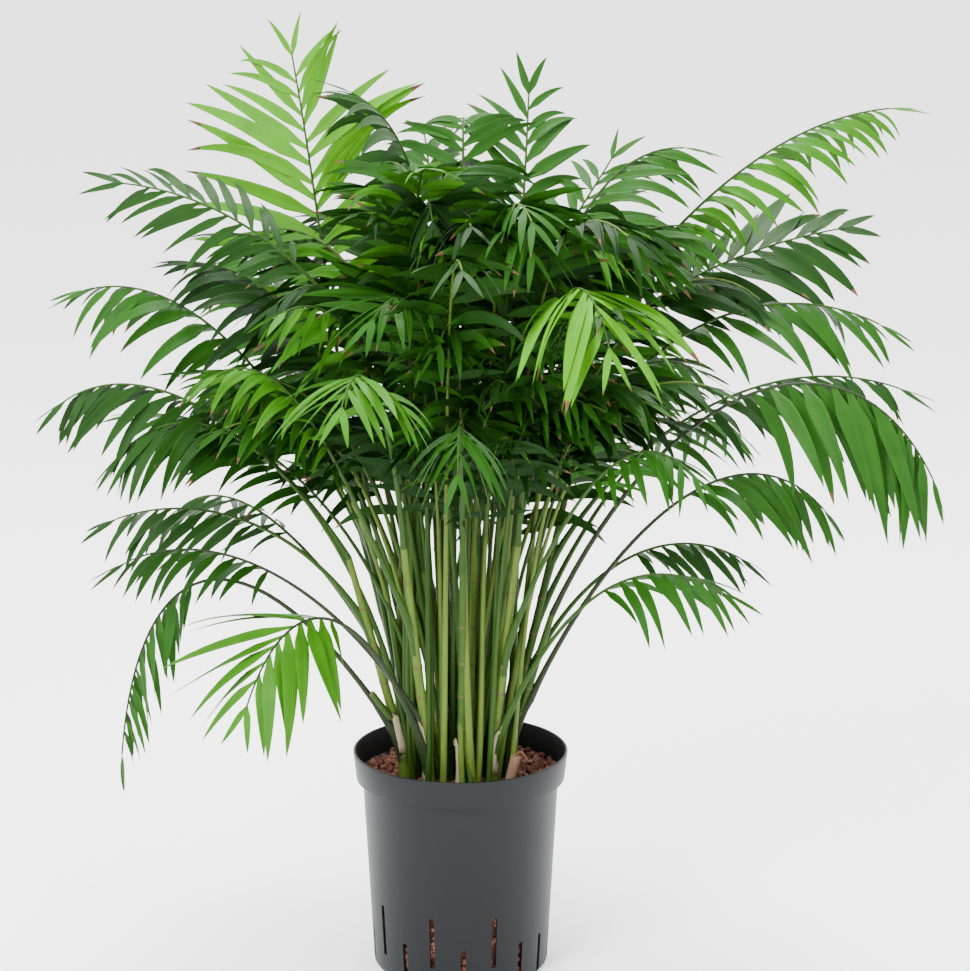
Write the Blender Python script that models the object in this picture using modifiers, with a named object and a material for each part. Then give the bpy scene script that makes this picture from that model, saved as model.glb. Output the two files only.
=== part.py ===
# Parlor palm in a slotted water-culture pot, in metres, +Z up.
# The origin is the middle of the pot's flat underside. The side seen first faces -Y.

import math
from collections import namedtuple

import bmesh
import bpy
from mathutils import Matrix, Vector, noise
from mathutils.bvhtree import BVHTree

GAP = 0.0003               # air left between two solids that touch

# Pot
POT_HEIGHT = 0.188
RIM_RADIUS = 0.090
COLLAR_HEIGHT = 0.024
COLLAR_FOOT_RADIUS = 0.0876
NECK_RADIUS = 0.0822       # the wall just below the collar
FOOT_RADIUS = 0.0735
FOOT_ROUNDING = 0.005
FLOOR_ROUNDING = 0.0035    # between the floor and the wall inside
EDGE_BEVEL = 0.0006        # the rim's and the collar's edges
WALL = 0.002
POT_FACETS = 36

# Slots in the pot's wall
SLOT_COUNT = 18
SLOT_WIDTH = 0.0042
SLOT_TURN = 2.0            # degrees from the front to the first slot
HIGH_SLOT = (0.019, 0.063)
LOW_SLOT = (-0.001, 0.036)
HIGH_SLOT_PLACES = (1, 6, 8)  # within each run of nine slots
SLOT_PATTERN = 9
SLOT_INNER_RADIUS = 0.064
SLOT_OUTER_RADIUS = 0.095

# Clay granules
GRANULE_TOP = 0.167

# Canes
CANE_SIDES_RESOLUTION = 2
CANE_POINTS = 7
CANE_FLARE = 1.25          # the foot's radius over the cane's
CANE_FLARE_HEIGHT = 0.014
CANE_TAPER = 0.62          # the top's radius over the foot's
CANE_UPRIGHT = 0.018       # height over which a cane turns from upright to its lean

# Fronds
PETIOLE_RADIUS = 0.0024
RACHIS_RADIUS = 0.0016
TIP_RADIUS = 0.0009
BLADE_EDGE = 0.0006        # half the thickness at a blade's edge
PETIOLE_RINGS = 4
BLADE_RINGS = 10
LEAN_TO_START = 1.15       # pull of a frond's straight lower part
LEAN_TO_END = 0.90
SMALLEST_TURN = 0.2        # radians a frond bends over at the least
FIRST_LEAFLETS = 0.10      # the blade's width at the first leaflets over its full width
BLADE_SKEW = 0.80          # below 1 the widest place moves towards the foot
BLADE_FULLNESS = 0.75      # below 1 the outline is rounder
OPEN_BLADE = 1.01          # a blade narrower than this many rib radii is all rib
RIB_CORNER = 30.0          # degrees, where a round rib's side points stand
SMALLEST_BEND = 0.001      # radians
BEND_ROOM = 0.75           # how far the blade hangs inside a bend, over the bend's radius
TRIM_STEP = 0.86           # how much a side narrows at a time to clear another solid
TRIM_ROOM = 0.0006
TRIM_ROUNDS = 40
WIDE_GAP = 0.079           # a frond that bends round more than this is split there

# Foliage masses
MASS_DETAIL = 2
MASS_UNEVENNESS = 0.28
MASS_BUMP_SIZE = 22.0      # bumps per metre
SETTLE_ROUNDS = 14
SETTLE_REACH = 2.0         # the furthest a mass is moved, in distances to its neighbour
SMOOTH_ANGLE = 40.0        # degrees, edges sharper than this stay sharp

Cane = namedtuple("Cane", "name azimuth foot_radius lean top thickness")

# azimuth: degrees, 0 to the right, 90 to the back. foot_radius: from the pot's axis.
# lean: degrees from upright. top: height above the pot's underside.
CANES = (
    Cane("left", 196, 0.048, 15, 0.360, 0.0056),
    Cane("left_back", 158, 0.044, 12, 0.430, 0.0050),
    Cane("back", 105, 0.044, 12, 0.420, 0.0050),
    Cane("back_right", 62, 0.044, 12, 0.420, 0.0048),
    Cane("right_back", 22, 0.042, 14, 0.420, 0.0050),
    Cane("right", 346, 0.040, 17, 0.310, 0.0052),
    Cane("front_right", 308, 0.042, 10, 0.380, 0.0056),
    Cane("front", 272, 0.044, 8, 0.360, 0.0054),
    Cane("front_left", 236, 0.046, 10, 0.380, 0.0058),
    Cane("inner_right", 25, 0.018, 6, 0.500, 0.0054),
    Cane("inner_back", 115, 0.020, 4, 0.480, 0.0050),
    Cane("inner_left", 205, 0.018, 6, 0.470, 0.0056),
    Cane("inner_front", 290, 0.020, 5, 0.440, 0.0050),
)

Frond = namedtuple("Frond", "name cane foot rise azimuth reach height end arch bare width fold roll")

# cane and foot: where the petiole leaves, and its height there (TOP: the cane's end).
# rise: its slope there, in degrees above level. azimuth and reach: the tip's place round
# and from the pot's axis. height and end: the tip's height, and the slope there.
# arch: how far the frond swings out, 1 for an even curve. bare: the petiole's share of
# the length. width: from the rib to the leaflets' tips. fold: how far the leaflets hang.
# roll: the blade's turn about its rib, in degrees.
TOP = None
FRONDS = (
    Frond("top_left", "left_back", TOP, 76, 145, 0.178, 0.793, 72, 1.0, 0.32, 0.125, 12, -45),
    Frond("left_high", "inner_left", TOP, 68, 181, 0.300, 0.668, -3, 1.0, 0.42, 0.070, 25, -45),
    Frond("left_broad", "left_back", 0.36, 64, 173, 0.338, 0.560, -30, 1.0, 0.42, 0.080, 45, -10),
    Frond("left_mid", "left", TOP, 60, 188, 0.342, 0.478, -50, 1.0, 0.36, 0.075, 50, -10),
    Frond("left_low", "left", 0.310, 57, 177, 0.305, 0.374, -30, 1.0, 0.42, 0.060, 45, -10),
    Frond("left_low_front", "front_left", 0.230, 60, 196, 0.300, 0.360, -35, 1.0, 0.50, 0.055, 45, 0),
    Frond("left_weeping", "left", 0.215, 58, 191, 0.286, 0.155, -89, 1.85, 0.50, 0.050, 55, 0),
    Frond("left_fan", "front_left", 0.205, 66, 229, 0.264, 0.255, -72, 1.45, 0.45, 0.085, 20, -15),
    Frond("right_arch", "right", 0.235, 66, 353, 0.316, 0.380, -60, 1.15, 0.50, 0.075, 62, 0),
    Frond("right_low_back", "right_back", 0.250, 65, 5, 0.250, 0.337, -38, 1.1, 0.50, 0.050, 45, 10),
    Frond("right_low_front", "front_right", 0.215, 68, 333, 0.258, 0.342, -35, 1.15, 0.48, 0.060, 40, 10),
    Frond("right_high", "right_back", TOP, 67, 8, 0.380, 0.522, -38, 1.05, 0.38, 0.085, 35, 10),
    Frond("right_weeping", "right", TOP, 66, 346, 0.405, 0.400, -74, 1.3, 0.45, 0.120, 68, 0),
    Frond("right_mid", "right_back", 0.35, 60, 358, 0.390, 0.485, -30, 1.0, 0.38, 0.070, 50, 10),
    Frond("right_broad", "back_right", TOP, 62, 20, 0.375, 0.612, 5, 1.0, 0.40, 0.095, 15, 35),
    Frond("top_right", "inner_right", 0.44, 58, 15, 0.410, 0.712, -8, 1.0, 0.40, 0.070, 55, 0),
    Frond("top_right_inner", "inner_front", 0.40, 74, 10, 0.210, 0.685, -20, 1.0, 0.50, 0.075, 45, 0),
    Frond("top_centre", "inner_right", TOP, 80, 68, 0.155, 0.745, 78, 1.0, 0.36, 0.075, 15, 20),
    Frond("top_centre_right", "inner_front", TOP, 80, 38, 0.175, 0.690, 45, 1.0, 0.45, 0.075, 20, 15),
    Frond("top_inner", "inner_back", TOP, 84, 176, 0.105, 0.745, 15, 1.0, 0.50, 0.075, 35, 0),
    Frond("top_front", "inner_left", 0.38, 84, 255, 0.095, 0.690, -5, 1.0, 0.55, 0.075, 25, 0),
    Frond("front_right", "front_right", TOP, 82, 297, 0.265, 0.543, -68, 1.35, 0.45, 0.105, 35, 0),
    Frond("front_left", "front_left", TOP, 74, 252, 0.290, 0.520, -55, 1.0, 0.42, 0.090, 35, 0),
    Frond("left_bright", "front_left", 0.32, 66, 210, 0.240, 0.520, -42, 1.0, 0.42, 0.070, 40, 0),
    Frond("front_low", "front", TOP, 76, 270, 0.255, 0.462, -70, 1.08, 0.42, 0.075, 50, 0),
    Frond("front_high", "inner_left", 0.32, 80, 226, 0.215, 0.580, -25, 1.0, 0.50, 0.070, 65, 0),
    Frond("left_high_back", "inner_back", 0.42, 76, 162, 0.230, 0.610, -15, 1.0, 0.45, 0.075, 30, 0),
    Frond("front_right_low", "front_right", 0.30, 66, 316, 0.270, 0.450, -50, 1.1, 0.45, 0.070, 45, 0),
    Frond("back_right", "back_right", 0.35, 66, 58, 0.330, 0.580, -40, 1.0, 0.40, 0.085, 40, 0),
    Frond("back", "back", TOP, 64, 95, 0.340, 0.520, -50, 1.0, 0.38, 0.085, 45, 0),
    Frond("back_left", "left_back", 0.30, 62, 132, 0.330, 0.550, -35, 1.0, 0.45, 0.085, 40, 0),
    Frond("back_low", "back", 0.25, 56, 82, 0.290, 0.370, -60, 1.0, 0.45, 0.070, 45, 0),
    Frond("back_left_low", "left_back", 0.24, 54, 146, 0.310, 0.340, -50, 1.0, 0.45, 0.070, 45, 0),
    Frond("back_right_low", "right_back", 0.30, 56, 38, 0.320, 0.400, -55, 1.0, 0.45, 0.070, 45, 0),
    Frond("back_high", "inner_back", 0.36, 80, 100, 0.200, 0.690, 10, 1.0, 0.45, 0.080, 30, 0),
)

Mass = namedtuple("Mass", "name place size seed")

# place: the middle. size: half of its width, depth and height.
MASSES = (
    Mass("front", (-0.010, -0.110, 0.565), (0.070, 0.060, 0.062), 3),
    Mass("right", (0.145, -0.055, 0.535), (0.080, 0.062, 0.062), 5),
    Mass("back", (0.030, 0.180, 0.450), (0.090, 0.062, 0.070), 7),
    Mass("left", (-0.175, 0.090, 0.440), (0.075, 0.065, 0.062), 11),
    Mass("top", (0.040, 0.020, 0.665), (0.062, 0.062, 0.058), 13),
)


def clear_scene():
    for obj in list(bpy.data.objects):
        bpy.data.objects.remove(obj, do_unlink=True)


def new_collection(name):
    collection = bpy.data.collections.new(name)
    bpy.context.scene.collection.children.link(collection)
    return collection


def make_material(name, colour, roughness):
    material = bpy.data.materials.new(name)
    material.use_nodes = True
    shader = material.node_tree.nodes["Principled BSDF"]
    shader.inputs["Base Color"].default_value = (*colour, 1.0)
    shader.inputs["Roughness"].default_value = roughness
    shader.inputs["Metallic"].default_value = 0.0
    material.diffuse_color = (*colour, 1.0)
    return material


def add_mesh_object(name, mesh, collection, material):
    obj = bpy.data.objects.new(name, mesh)
    mesh.materials.append(material)
    collection.objects.link(obj)
    return obj


def around(azimuth):
    """The level direction at an azimuth in degrees."""
    angle = math.radians(azimuth)
    return Vector((math.cos(angle), math.sin(angle), 0.0))


# Pot and granules

def wall_outer_radius(height):
    """The pot wall's outer radius between its foot and its neck."""
    share = (height - FOOT_ROUNDING) / (POT_HEIGHT - COLLAR_HEIGHT - FOOT_ROUNDING)
    return FOOT_RADIUS + (NECK_RADIUS - FOOT_RADIUS) * share


def inner_profile():
    """Radius and height up the pot's inside, from the floor to the rim."""
    neck = POT_HEIGHT - COLLAR_HEIGHT
    return [
        (FOOT_RADIUS - WALL - FLOOR_ROUNDING, WALL),
        (wall_outer_radius(WALL + FLOOR_ROUNDING) - WALL, WALL + FLOOR_ROUNDING),
        (NECK_RADIUS - WALL, neck - WALL),
        (COLLAR_FOOT_RADIUS - WALL, neck + WALL),
        (RIM_RADIUS - WALL - EDGE_BEVEL, POT_HEIGHT),
    ]


def outer_profile():
    """Radius and height down the pot's outside, from the rim to the underside."""
    neck = POT_HEIGHT - COLLAR_HEIGHT
    eased = FOOT_ROUNDING * (1.0 - math.sqrt(0.5))
    return [
        (RIM_RADIUS - EDGE_BEVEL, POT_HEIGHT),
        (RIM_RADIUS, POT_HEIGHT - EDGE_BEVEL),
        (COLLAR_FOOT_RADIUS, neck + EDGE_BEVEL),
        (COLLAR_FOOT_RADIUS - EDGE_BEVEL, neck),
        (NECK_RADIUS, neck - EDGE_BEVEL),
        (FOOT_RADIUS, FOOT_ROUNDING),
        (FOOT_RADIUS - eased, eased),
        (FOOT_RADIUS - FOOT_ROUNDING, 0.0),
    ]


def turn_profile(name, profile, collection, material):
    """A solid turned about the Z axis from radius and height pairs, outer side downwards."""
    mesh = bpy.data.meshes.new(name)
    points = [(radius, 0.0, height) for radius, height in profile]
    mesh.from_pydata(points, [(i, i + 1) for i in range(len(points) - 1)], [])
    obj = add_mesh_object(name, mesh, collection, material)
    screw = obj.modifiers.new("turn", "SCREW")
    screw.angle = math.tau
    screw.steps = POT_FACETS
    screw.render_steps = POT_FACETS
    screw.use_merge_vertices = True
    screw.merge_threshold = 0.00001
    screw.use_smooth_shade = True
    return obj


def make_slot_cutter(collection):
    """One mesh of boxes, each standing where a slot goes through the pot's wall."""
    mesh = bpy.data.meshes.new("slot_cutter")
    bm = bmesh.new()
    for index in range(SLOT_COUNT):
        low, high = HIGH_SLOT if index % SLOT_PATTERN in HIGH_SLOT_PLACES else LOW_SLOT
        size = Matrix.Diagonal((SLOT_OUTER_RADIUS - SLOT_INNER_RADIUS, SLOT_WIDTH, high - low, 1.0))
        middle = ((SLOT_OUTER_RADIUS + SLOT_INNER_RADIUS) / 2, 0.0, (low + high) / 2)
        turn = math.radians(SLOT_TURN - 90 + index * 360 / SLOT_COUNT)
        place = Matrix.Rotation(turn, 4, "Z") @ Matrix.Translation(middle) @ size
        bmesh.ops.create_cube(bm, size=1.0, matrix=place)
    bm.to_mesh(mesh)
    bm.free()
    cutter = bpy.data.objects.new("slot_cutter", mesh)
    cutter.hide_render = True
    cutter.display_type = "WIRE"
    collection.objects.link(cutter)
    return cutter


def make_pot(collection, cutters, material):
    profile = [(0.0, WALL)] + inner_profile() + outer_profile() + [(0.0, 0.0)]
    pot = turn_profile("pot", profile, collection, material)
    cut = pot.modifiers.new("slots", "BOOLEAN")
    cut.operation = "DIFFERENCE"
    cut.solver = "EXACT"
    cut.object = make_slot_cutter(cutters)
    return pot


def make_granules(collection, material):
    """The clay fill as one solid, level where the canes stand on it."""
    inside = inner_profile()
    below, above = inside[-2], inside[-1]
    share = (GRANULE_TOP - below[1]) / (above[1] - below[1])
    top_radius = below[0] + (above[0] - below[0]) * share - GAP
    wall = [(radius - GAP, height) for radius, height in reversed(inside[:-1])]
    floor_radius, floor_height = wall.pop()
    profile = [(0.0, GRANULE_TOP), (top_radius, GRANULE_TOP)] + wall
    profile += [(floor_radius, floor_height + GAP), (0.0, floor_height + GAP)]
    return turn_profile("clay_granules", profile, collection, material)


# Canes

def cane_height_range(cane):
    return GRANULE_TOP + GAP, cane.top


def cane_axis(cane, height):
    """A cane's middle at a height. It stands upright on the granules, then leans out."""
    above = height - GRANULE_TOP - GAP
    run = above - CANE_UPRIGHT * (1.0 - math.exp(-above / CANE_UPRIGHT))
    out = cane.foot_radius + math.tan(math.radians(cane.lean)) * run
    return around(cane.azimuth) * out + Vector((0.0, 0.0, height))


def cane_radius(cane, height):
    low, high = cane_height_range(cane)
    share = (height - low) / (high - low)
    flare = (CANE_FLARE - 1.0) * max(0.0, 1.0 - (height - low) / CANE_FLARE_HEIGHT)
    return cane.thickness * (1.0 + (CANE_TAPER - 1.0) * share + flare)


def make_cane(cane, collection, material):
    name = "cane_" + cane.name
    curve = bpy.data.curves.new(name, "CURVE")
    curve.dimensions = "3D"
    curve.bevel_depth = cane.thickness
    curve.bevel_resolution = CANE_SIDES_RESOLUTION
    curve.use_fill_caps = True
    low, high = cane_height_range(cane)
    heights = [low, low + CANE_FLARE_HEIGHT / 2, low + CANE_FLARE_HEIGHT]
    rest = CANE_POINTS - len(heights)
    heights += [heights[2] + (high - heights[2]) * (i + 1) / rest for i in range(rest)]
    spline = curve.splines.new("POLY")
    spline.points.add(len(heights) - 1)
    for index, (point, height) in enumerate(zip(spline.points, heights)):
        middle = cane_axis(cane, height)
        if index == 1:
            middle = cane_axis(cane, low) + Vector((0.0, 0.0, height - low))
        point.co = (*middle, 1.0)
        point.radius = cane_radius(cane, height) / cane.thickness
    obj = bpy.data.objects.new(name, curve)
    curve.materials.append(material)
    collection.objects.link(obj)
    return obj


# Fronds

def frond_foot(frond, cane):
    """The middle of a petiole's foot: on its cane's end, or beside the cane."""
    middle = cane_axis(cane, cane.top if frond.foot is TOP else frond.foot)
    tip = around(frond.azimuth) * frond.reach
    out = Vector((tip.x - middle.x, tip.y - middle.y, 0.0)).normalized()
    if frond.foot is not TOP:
        return middle + out * (cane_radius(cane, frond.foot) + PETIOLE_RADIUS + GAP)
    rise = math.radians(frond.rise)
    start = out * math.cos(rise) + Vector((0.0, 0.0, math.sin(rise)))
    lean = (middle - cane_axis(cane, cane.top - CANE_UPRIGHT)).normalized()
    return middle + lean * (GAP + PETIOLE_RADIUS * math.sin(lean.angle(start)))


def frond_spine(frond, cane, share):
    """A frond's middle line: from its foot at share 0, bending over to its tip at 1."""
    foot = frond_foot(frond, cane)
    tip = around(frond.azimuth) * frond.reach + Vector((0.0, 0.0, frond.height))
    out = Vector((tip.x - foot.x, tip.y - foot.y, 0.0))
    run, climb = out.length, tip.z - foot.z
    out.normalize()
    turn = max(SMALLEST_TURN, math.radians(frond.rise - frond.end))
    pull = frond.arch * math.hypot(run, climb) * 2.0 * math.tan(turn / 4) / math.sin(turn / 2)
    rise, end = math.radians(frond.rise), math.radians(frond.end)
    start_pull = pull * LEAN_TO_START * (share - 2 * share ** 2 + share ** 3)
    end_pull = pull * LEAN_TO_END * (share ** 3 - share ** 2)
    arrive = 3 * share ** 2 - 2 * share ** 3
    along = run * arrive + math.cos(rise) * start_pull + math.cos(end) * end_pull
    up = climb * arrive + math.sin(rise) * start_pull + math.sin(end) * end_pull
    return foot + out * along + Vector((0.0, 0.0, up))


def frond_shares(frond):
    """Where the rings lie along a frond: few on the petiole, more on the blade."""
    petiole = [frond.bare * i / PETIOLE_RINGS for i in range(PETIOLE_RINGS)]
    blade = [frond.bare + (1.0 - frond.bare) * i / BLADE_RINGS for i in range(BLADE_RINGS + 1)]
    return petiole + blade


def blade_width(frond, share):
    """From the rib to the leaflets' tips: wide past the first leaflets, narrow at the tip."""
    blade = (share - frond.bare) / (1.0 - frond.bare)
    if blade <= 0.0:
        return 0.0
    full = math.sin(math.pi * min(1.0, blade) ** BLADE_SKEW) ** BLADE_FULLNESS
    return frond.width * (FIRST_LEAFLETS + (1.0 - FIRST_LEAFLETS) * full)


def rib_radius(frond, share):
    if share < frond.bare:
        return PETIOLE_RADIUS + (RACHIS_RADIUS - PETIOLE_RADIUS) * share / frond.bare
    blade = (share - frond.bare) / (1.0 - frond.bare)
    return RACHIS_RADIUS + (TIP_RADIUS - RACHIS_RADIUS) * blade


class Blade:
    """A frond's solid in the making: its rings, and how wide each side of it is."""

    def __init__(self, frond, cane):
        self.frond = frond
        self.shares = frond_shares(frond)
        self.middles = [frond_spine(frond, cane, share) for share in self.shares]
        self.frames = [self.frame_at(index) for index in range(len(self.shares))]
        self.radii = [rib_radius(frond, share) for share in self.shares]
        self.widths = {-1: list(self.radii), 1: list(self.radii)}

    def frame_at(self, index):
        """The sideways and upward directions across the rib."""
        before = self.middles[max(0, index - 1)]
        after = self.middles[min(len(self.middles) - 1, index + 1)]
        along = (after - before).normalized()
        side = (self.middles[-1] - self.middles[0]).cross(Vector((0.0, 0.0, 1.0))).normalized()
        roll = Matrix.Rotation(math.radians(self.frond.roll), 3, along)
        side = roll @ side
        return side, side.cross(along).normalized()

    def ring(self, index, room=0.0):
        """Six points round the rib: left edge, top and right edge, then back underneath."""
        side, up = self.frames[index]
        middle, radius = self.middles[index], self.radii[index] + room
        points = []
        fold, corner = math.radians(self.frond.fold), math.radians(RIB_CORNER)
        for hand in (-1, 1):
            width = self.widths[hand][index] + room
            if width <= radius * OPEN_BLADE:
                reach, hang = math.cos(corner) * radius, 0.0
                normal = up * math.sin(corner) * radius
            else:
                reach, hang = math.cos(fold) * width, math.sin(fold) * width
                normal = (up * math.cos(fold) + side * hand * math.sin(fold)) * (BLADE_EDGE + room)
            edge = middle + side * hand * reach - up * hang
            points.append((edge + normal, edge - normal))
        left, right = points
        return [left[0], middle + up * radius, right[0], right[1], middle - up * radius, left[1]]

    def surface(self, first=0, last=None, room=0.0):
        """Vertices and faces of the solid between two rings."""
        last = len(self.shares) - 1 if last is None else last
        vertices, faces = [], []
        for index in range(first, last + 1):
            vertices += self.ring(index, room)
        for step in range(last - first):
            for corner in range(6):
                a, b = step * 6 + corner, step * 6 + (corner + 1) % 6
                faces.append((a, b, b + 6, a + 6))
        faces.append(tuple(range(5, -1, -1)))
        faces.append(tuple(range((last - first) * 6, (last - first) * 6 + 6)))
        return vertices, faces

    def tree(self, room=0.0):
        vertices, faces = self.surface(room=room)
        return BVHTree.FromPolygons(vertices, faces)

    def bend_radius(self, index):
        """The radius of the rib's bend at a ring."""
        if index in (0, len(self.middles) - 1):
            return math.inf
        before = self.middles[index] - self.middles[index - 1]
        after = self.middles[index + 1] - self.middles[index]
        return (before.length + after.length) / 2 / max(before.angle(after), SMALLEST_BEND)

    def widen(self, others):
        """Open the blade to its full width, less in a tight bend or where a solid is in the way."""
        hang = math.sin(math.radians(self.frond.fold))
        for hand in (-1, 1):
            for index, share in enumerate(self.shares):
                wanted = min(blade_width(self.frond, share), BEND_ROOM * self.bend_radius(index) / hang)
                self.widths[hand][index] = max(self.radii[index], wanted)
        for _ in range(TRIM_ROUNDS):
            blocked = self.blocked_edges(others)
            if not blocked:
                return
            for hand, index in blocked:
                self.widths[hand][index] = max(self.radii[index], self.widths[hand][index] * TRIM_STEP)
        raise ValueError("frond_" + self.frond.name + " runs into another solid")

    def blocked_edges(self, others):
        tree = self.tree(TRIM_ROOM)
        blocked = set()
        for other in others:
            for face, _ in tree.overlap(other):
                step, corner = divmod(face, 6)
                hand = -1 if corner in (0, 4, 5) else 1
                if PETIOLE_RINGS - 1 <= step < len(self.shares) - 1:
                    blocked.update({(hand, step), (hand, step + 1)})
        return blocked

    def bend(self):
        """The ring that lies furthest from the straight line between the ends."""
        first, last = self.middles[0], self.middles[-1]
        line = (last - first).normalized()
        out = [middle - first for middle in self.middles]
        away = [(way - line * way.dot(line)).length for way in out]
        furthest = max(range(len(away)), key=away.__getitem__)
        return furthest, away[furthest]


def object_from_surface(name, surface, collection, material):
    mesh = bpy.data.meshes.new(name)
    vertices, faces = surface
    mesh.from_pydata(vertices, [], faces)
    bm = bmesh.new()
    bm.from_mesh(mesh)
    bmesh.ops.triangulate(bm, faces=bm.faces)
    bmesh.ops.recalc_face_normals(bm, faces=bm.faces)
    bm.to_mesh(mesh)
    bm.free()
    mesh.shade_smooth()
    mesh.set_sharp_from_angle(angle=math.radians(SMOOTH_ANGLE))
    return add_mesh_object(name, mesh, collection, material)


def make_frond(blade, collection, material):
    """The frond as one solid, or as two where it bends round a wide gap."""
    name = "frond_" + blade.frond.name
    ring, away = blade.bend()
    if away < WIDE_GAP:
        return [object_from_surface(name, blade.surface(), collection, material)]
    lower = object_from_surface(name + "_rise", blade.surface(0, ring), collection, material)
    along = (blade.middles[ring + 1] - blade.middles[ring]).normalized()
    blade.middles[ring] = blade.middles[ring] + along * GAP
    upper = object_from_surface(name + "_fall", blade.surface(ring), collection, material)
    return [lower, upper]


# Foliage masses

def blocked_faces(points, faces, others):
    tree = BVHTree.FromPolygons(points, faces)
    return {face for other in others for face, _ in tree.overlap(other)}


def mass_outline(mass):
    """Points and faces of an uneven ball of leaves, each point measured from the middle."""
    bm = bmesh.new()
    bmesh.ops.create_icosphere(bm, subdivisions=MASS_DETAIL, radius=1.0)
    reach = []
    for vertex in bm.verts:
        full = Vector(mass.size) * vertex.co
        bump = noise.noise(full * MASS_BUMP_SIZE + Vector((mass.seed, 0.0, 0.0)))
        reach.append(full * (1.0 + MASS_UNEVENNESS * bump))
    faces = [tuple(vertex.index for vertex in face.verts) for face in bm.faces]
    bm.free()
    return reach, faces


def settle(points, faces, others):
    """Move a mass towards the nearest frond until only a hair of air is left."""
    nearest = []
    for point in points:
        for other in others:
            place, _, _, distance = other.find_nearest(point)
            nearest.append((distance, tuple(place - point)))
    distance, way = min(nearest)
    near, far = 0.0, SETTLE_REACH
    for _ in range(SETTLE_ROUNDS):
        middle = (near + far) / 2
        moved = [point + Vector(way) * middle for point in points]
        if blocked_faces(moved, faces, others):
            far = middle
        else:
            near = middle
    return [point + Vector(way) * near for point in points]


def make_mass(mass, others, collection, material):
    """An uneven solid of leaves that leaves room for the fronds which pass it."""
    name = "foliage_mass_" + mass.name
    middle = Vector(mass.place)
    reach, faces = mass_outline(mass)
    for _ in range(TRIM_ROUNDS):
        points = [middle + full for full in reach]
        blocked = {corner for face in blocked_faces(points, faces, others) for corner in faces[face]}
        if not blocked:
            points = settle(points, faces, others)
            return object_from_surface(name, (points, faces), collection, material)
        for corner in blocked:
            reach[corner] = reach[corner] * TRIM_STEP
    raise ValueError(name + " has a frond through its middle")


def evaluated_tree(obj, room):
    """A search tree of an object's finished surface, grown outwards by a little room."""
    graph = bpy.context.evaluated_depsgraph_get()
    mesh = obj.evaluated_get(graph).to_mesh()
    points = [obj.matrix_world @ (vertex.co + vertex.normal * room) for vertex in mesh.vertices]
    faces = [tuple(polygon.vertices) for polygon in mesh.polygons]
    return BVHTree.FromPolygons(points, faces)


def main():
    clear_scene()
    parts = new_collection("parlor_palm")
    cutters = new_collection("cutters")
    plastic = make_material("pot_plastic", (0.055, 0.060, 0.065), 0.45)
    clay = make_material("baked_clay", (0.22, 0.065, 0.030), 0.90)
    stem_green = make_material("cane_green", (0.13, 0.24, 0.035), 0.50)
    leaf_green = make_material("leaf_green", (0.035, 0.18, 0.012), 0.45)

    make_pot(parts, cutters, plastic)
    make_granules(parts, clay)
    canes = {cane.name: cane for cane in CANES}
    cane_objects = [make_cane(cane, parts, stem_green) for cane in CANES]
    bpy.context.view_layer.update()
    cane_trees = [evaluated_tree(obj, TRIM_ROOM) for obj in cane_objects]

    blades = [Blade(frond, canes[frond.cane]) for frond in FRONDS]
    trees = [blade.tree() for blade in blades]
    for index, blade in enumerate(blades):
        others = cane_trees + trees[:index] + trees[index + 1:]
        blade.widen(others)
        trees[index] = blade.tree()
    for blade in blades:
        make_frond(blade, parts, leaf_green)
    obstacles = cane_trees + [blade.tree(GAP) for blade in blades]
    for mass in MASSES:
        made = make_mass(mass, obstacles, parts, leaf_green)
        obstacles.append(evaluated_tree(made, GAP))


if __name__ == "__main__":
    main()
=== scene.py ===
# %% [markdown]
# A potted parlor palm: a dark slotted pot, clay granules, slender ringed canes, thirty-five
# arching outer fronds and nearly a hundred inner ones. The solid model of the pot, canes and
# fronds is loaded first and never moved, so everything made below is placed by it.

# %% Load the frame
import math
import random
from collections import namedtuple

import bmesh
import bpy
from mathutils import Matrix, Vector


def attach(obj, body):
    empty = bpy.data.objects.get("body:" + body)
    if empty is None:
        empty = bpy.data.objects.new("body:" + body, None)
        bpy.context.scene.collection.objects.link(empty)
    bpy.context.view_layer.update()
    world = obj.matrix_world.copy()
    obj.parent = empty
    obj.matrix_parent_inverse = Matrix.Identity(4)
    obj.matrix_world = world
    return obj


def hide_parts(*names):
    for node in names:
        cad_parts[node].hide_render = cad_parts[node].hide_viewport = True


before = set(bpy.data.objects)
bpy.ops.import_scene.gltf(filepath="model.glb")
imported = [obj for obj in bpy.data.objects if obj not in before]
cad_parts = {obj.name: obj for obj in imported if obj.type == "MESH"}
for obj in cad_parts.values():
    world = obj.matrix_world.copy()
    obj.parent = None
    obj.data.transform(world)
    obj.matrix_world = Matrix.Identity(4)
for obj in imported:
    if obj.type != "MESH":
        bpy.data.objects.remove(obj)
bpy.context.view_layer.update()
NODES = set(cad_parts)
UP = Vector((0.0, 0.0, 1.0))
DOWN = -UP


def add_object(name, data):
    """A new object at the origin, linked to the scene."""
    obj = bpy.data.objects.new(name, data)
    bpy.context.scene.collection.objects.link(obj)
    return obj


print("nodes loaded:", len(NODES))

# %% [markdown]
# The camera stands 2.75 m in front of the pot and looks down by 14 degrees. A wide lens from close
# by could frame the plant too, but it would open the ellipse of the pot's rim, so a long lens from
# further away is used, as for a product photograph.

# %% Camera
CAMERA_PLACE = (0.0206, -2.752, 1.103)
CAMERA_DOWN = 14.03        # degrees
LENS = 127.8
SENSOR_WIDTH = 36.0


def make_camera():
    data = bpy.data.cameras.new("camera")
    data.sensor_fit = "HORIZONTAL"
    data.sensor_width = SENSOR_WIDTH
    data.lens = LENS
    camera = add_object("camera", data)
    camera.location = CAMERA_PLACE
    camera.rotation_euler = (math.radians(90.0 - CAMERA_DOWN), 0.0, 0.0)
    bpy.context.scene.camera = camera


make_camera()
print("camera at", CAMERA_PLACE, "with a lens of", LENS)

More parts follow.
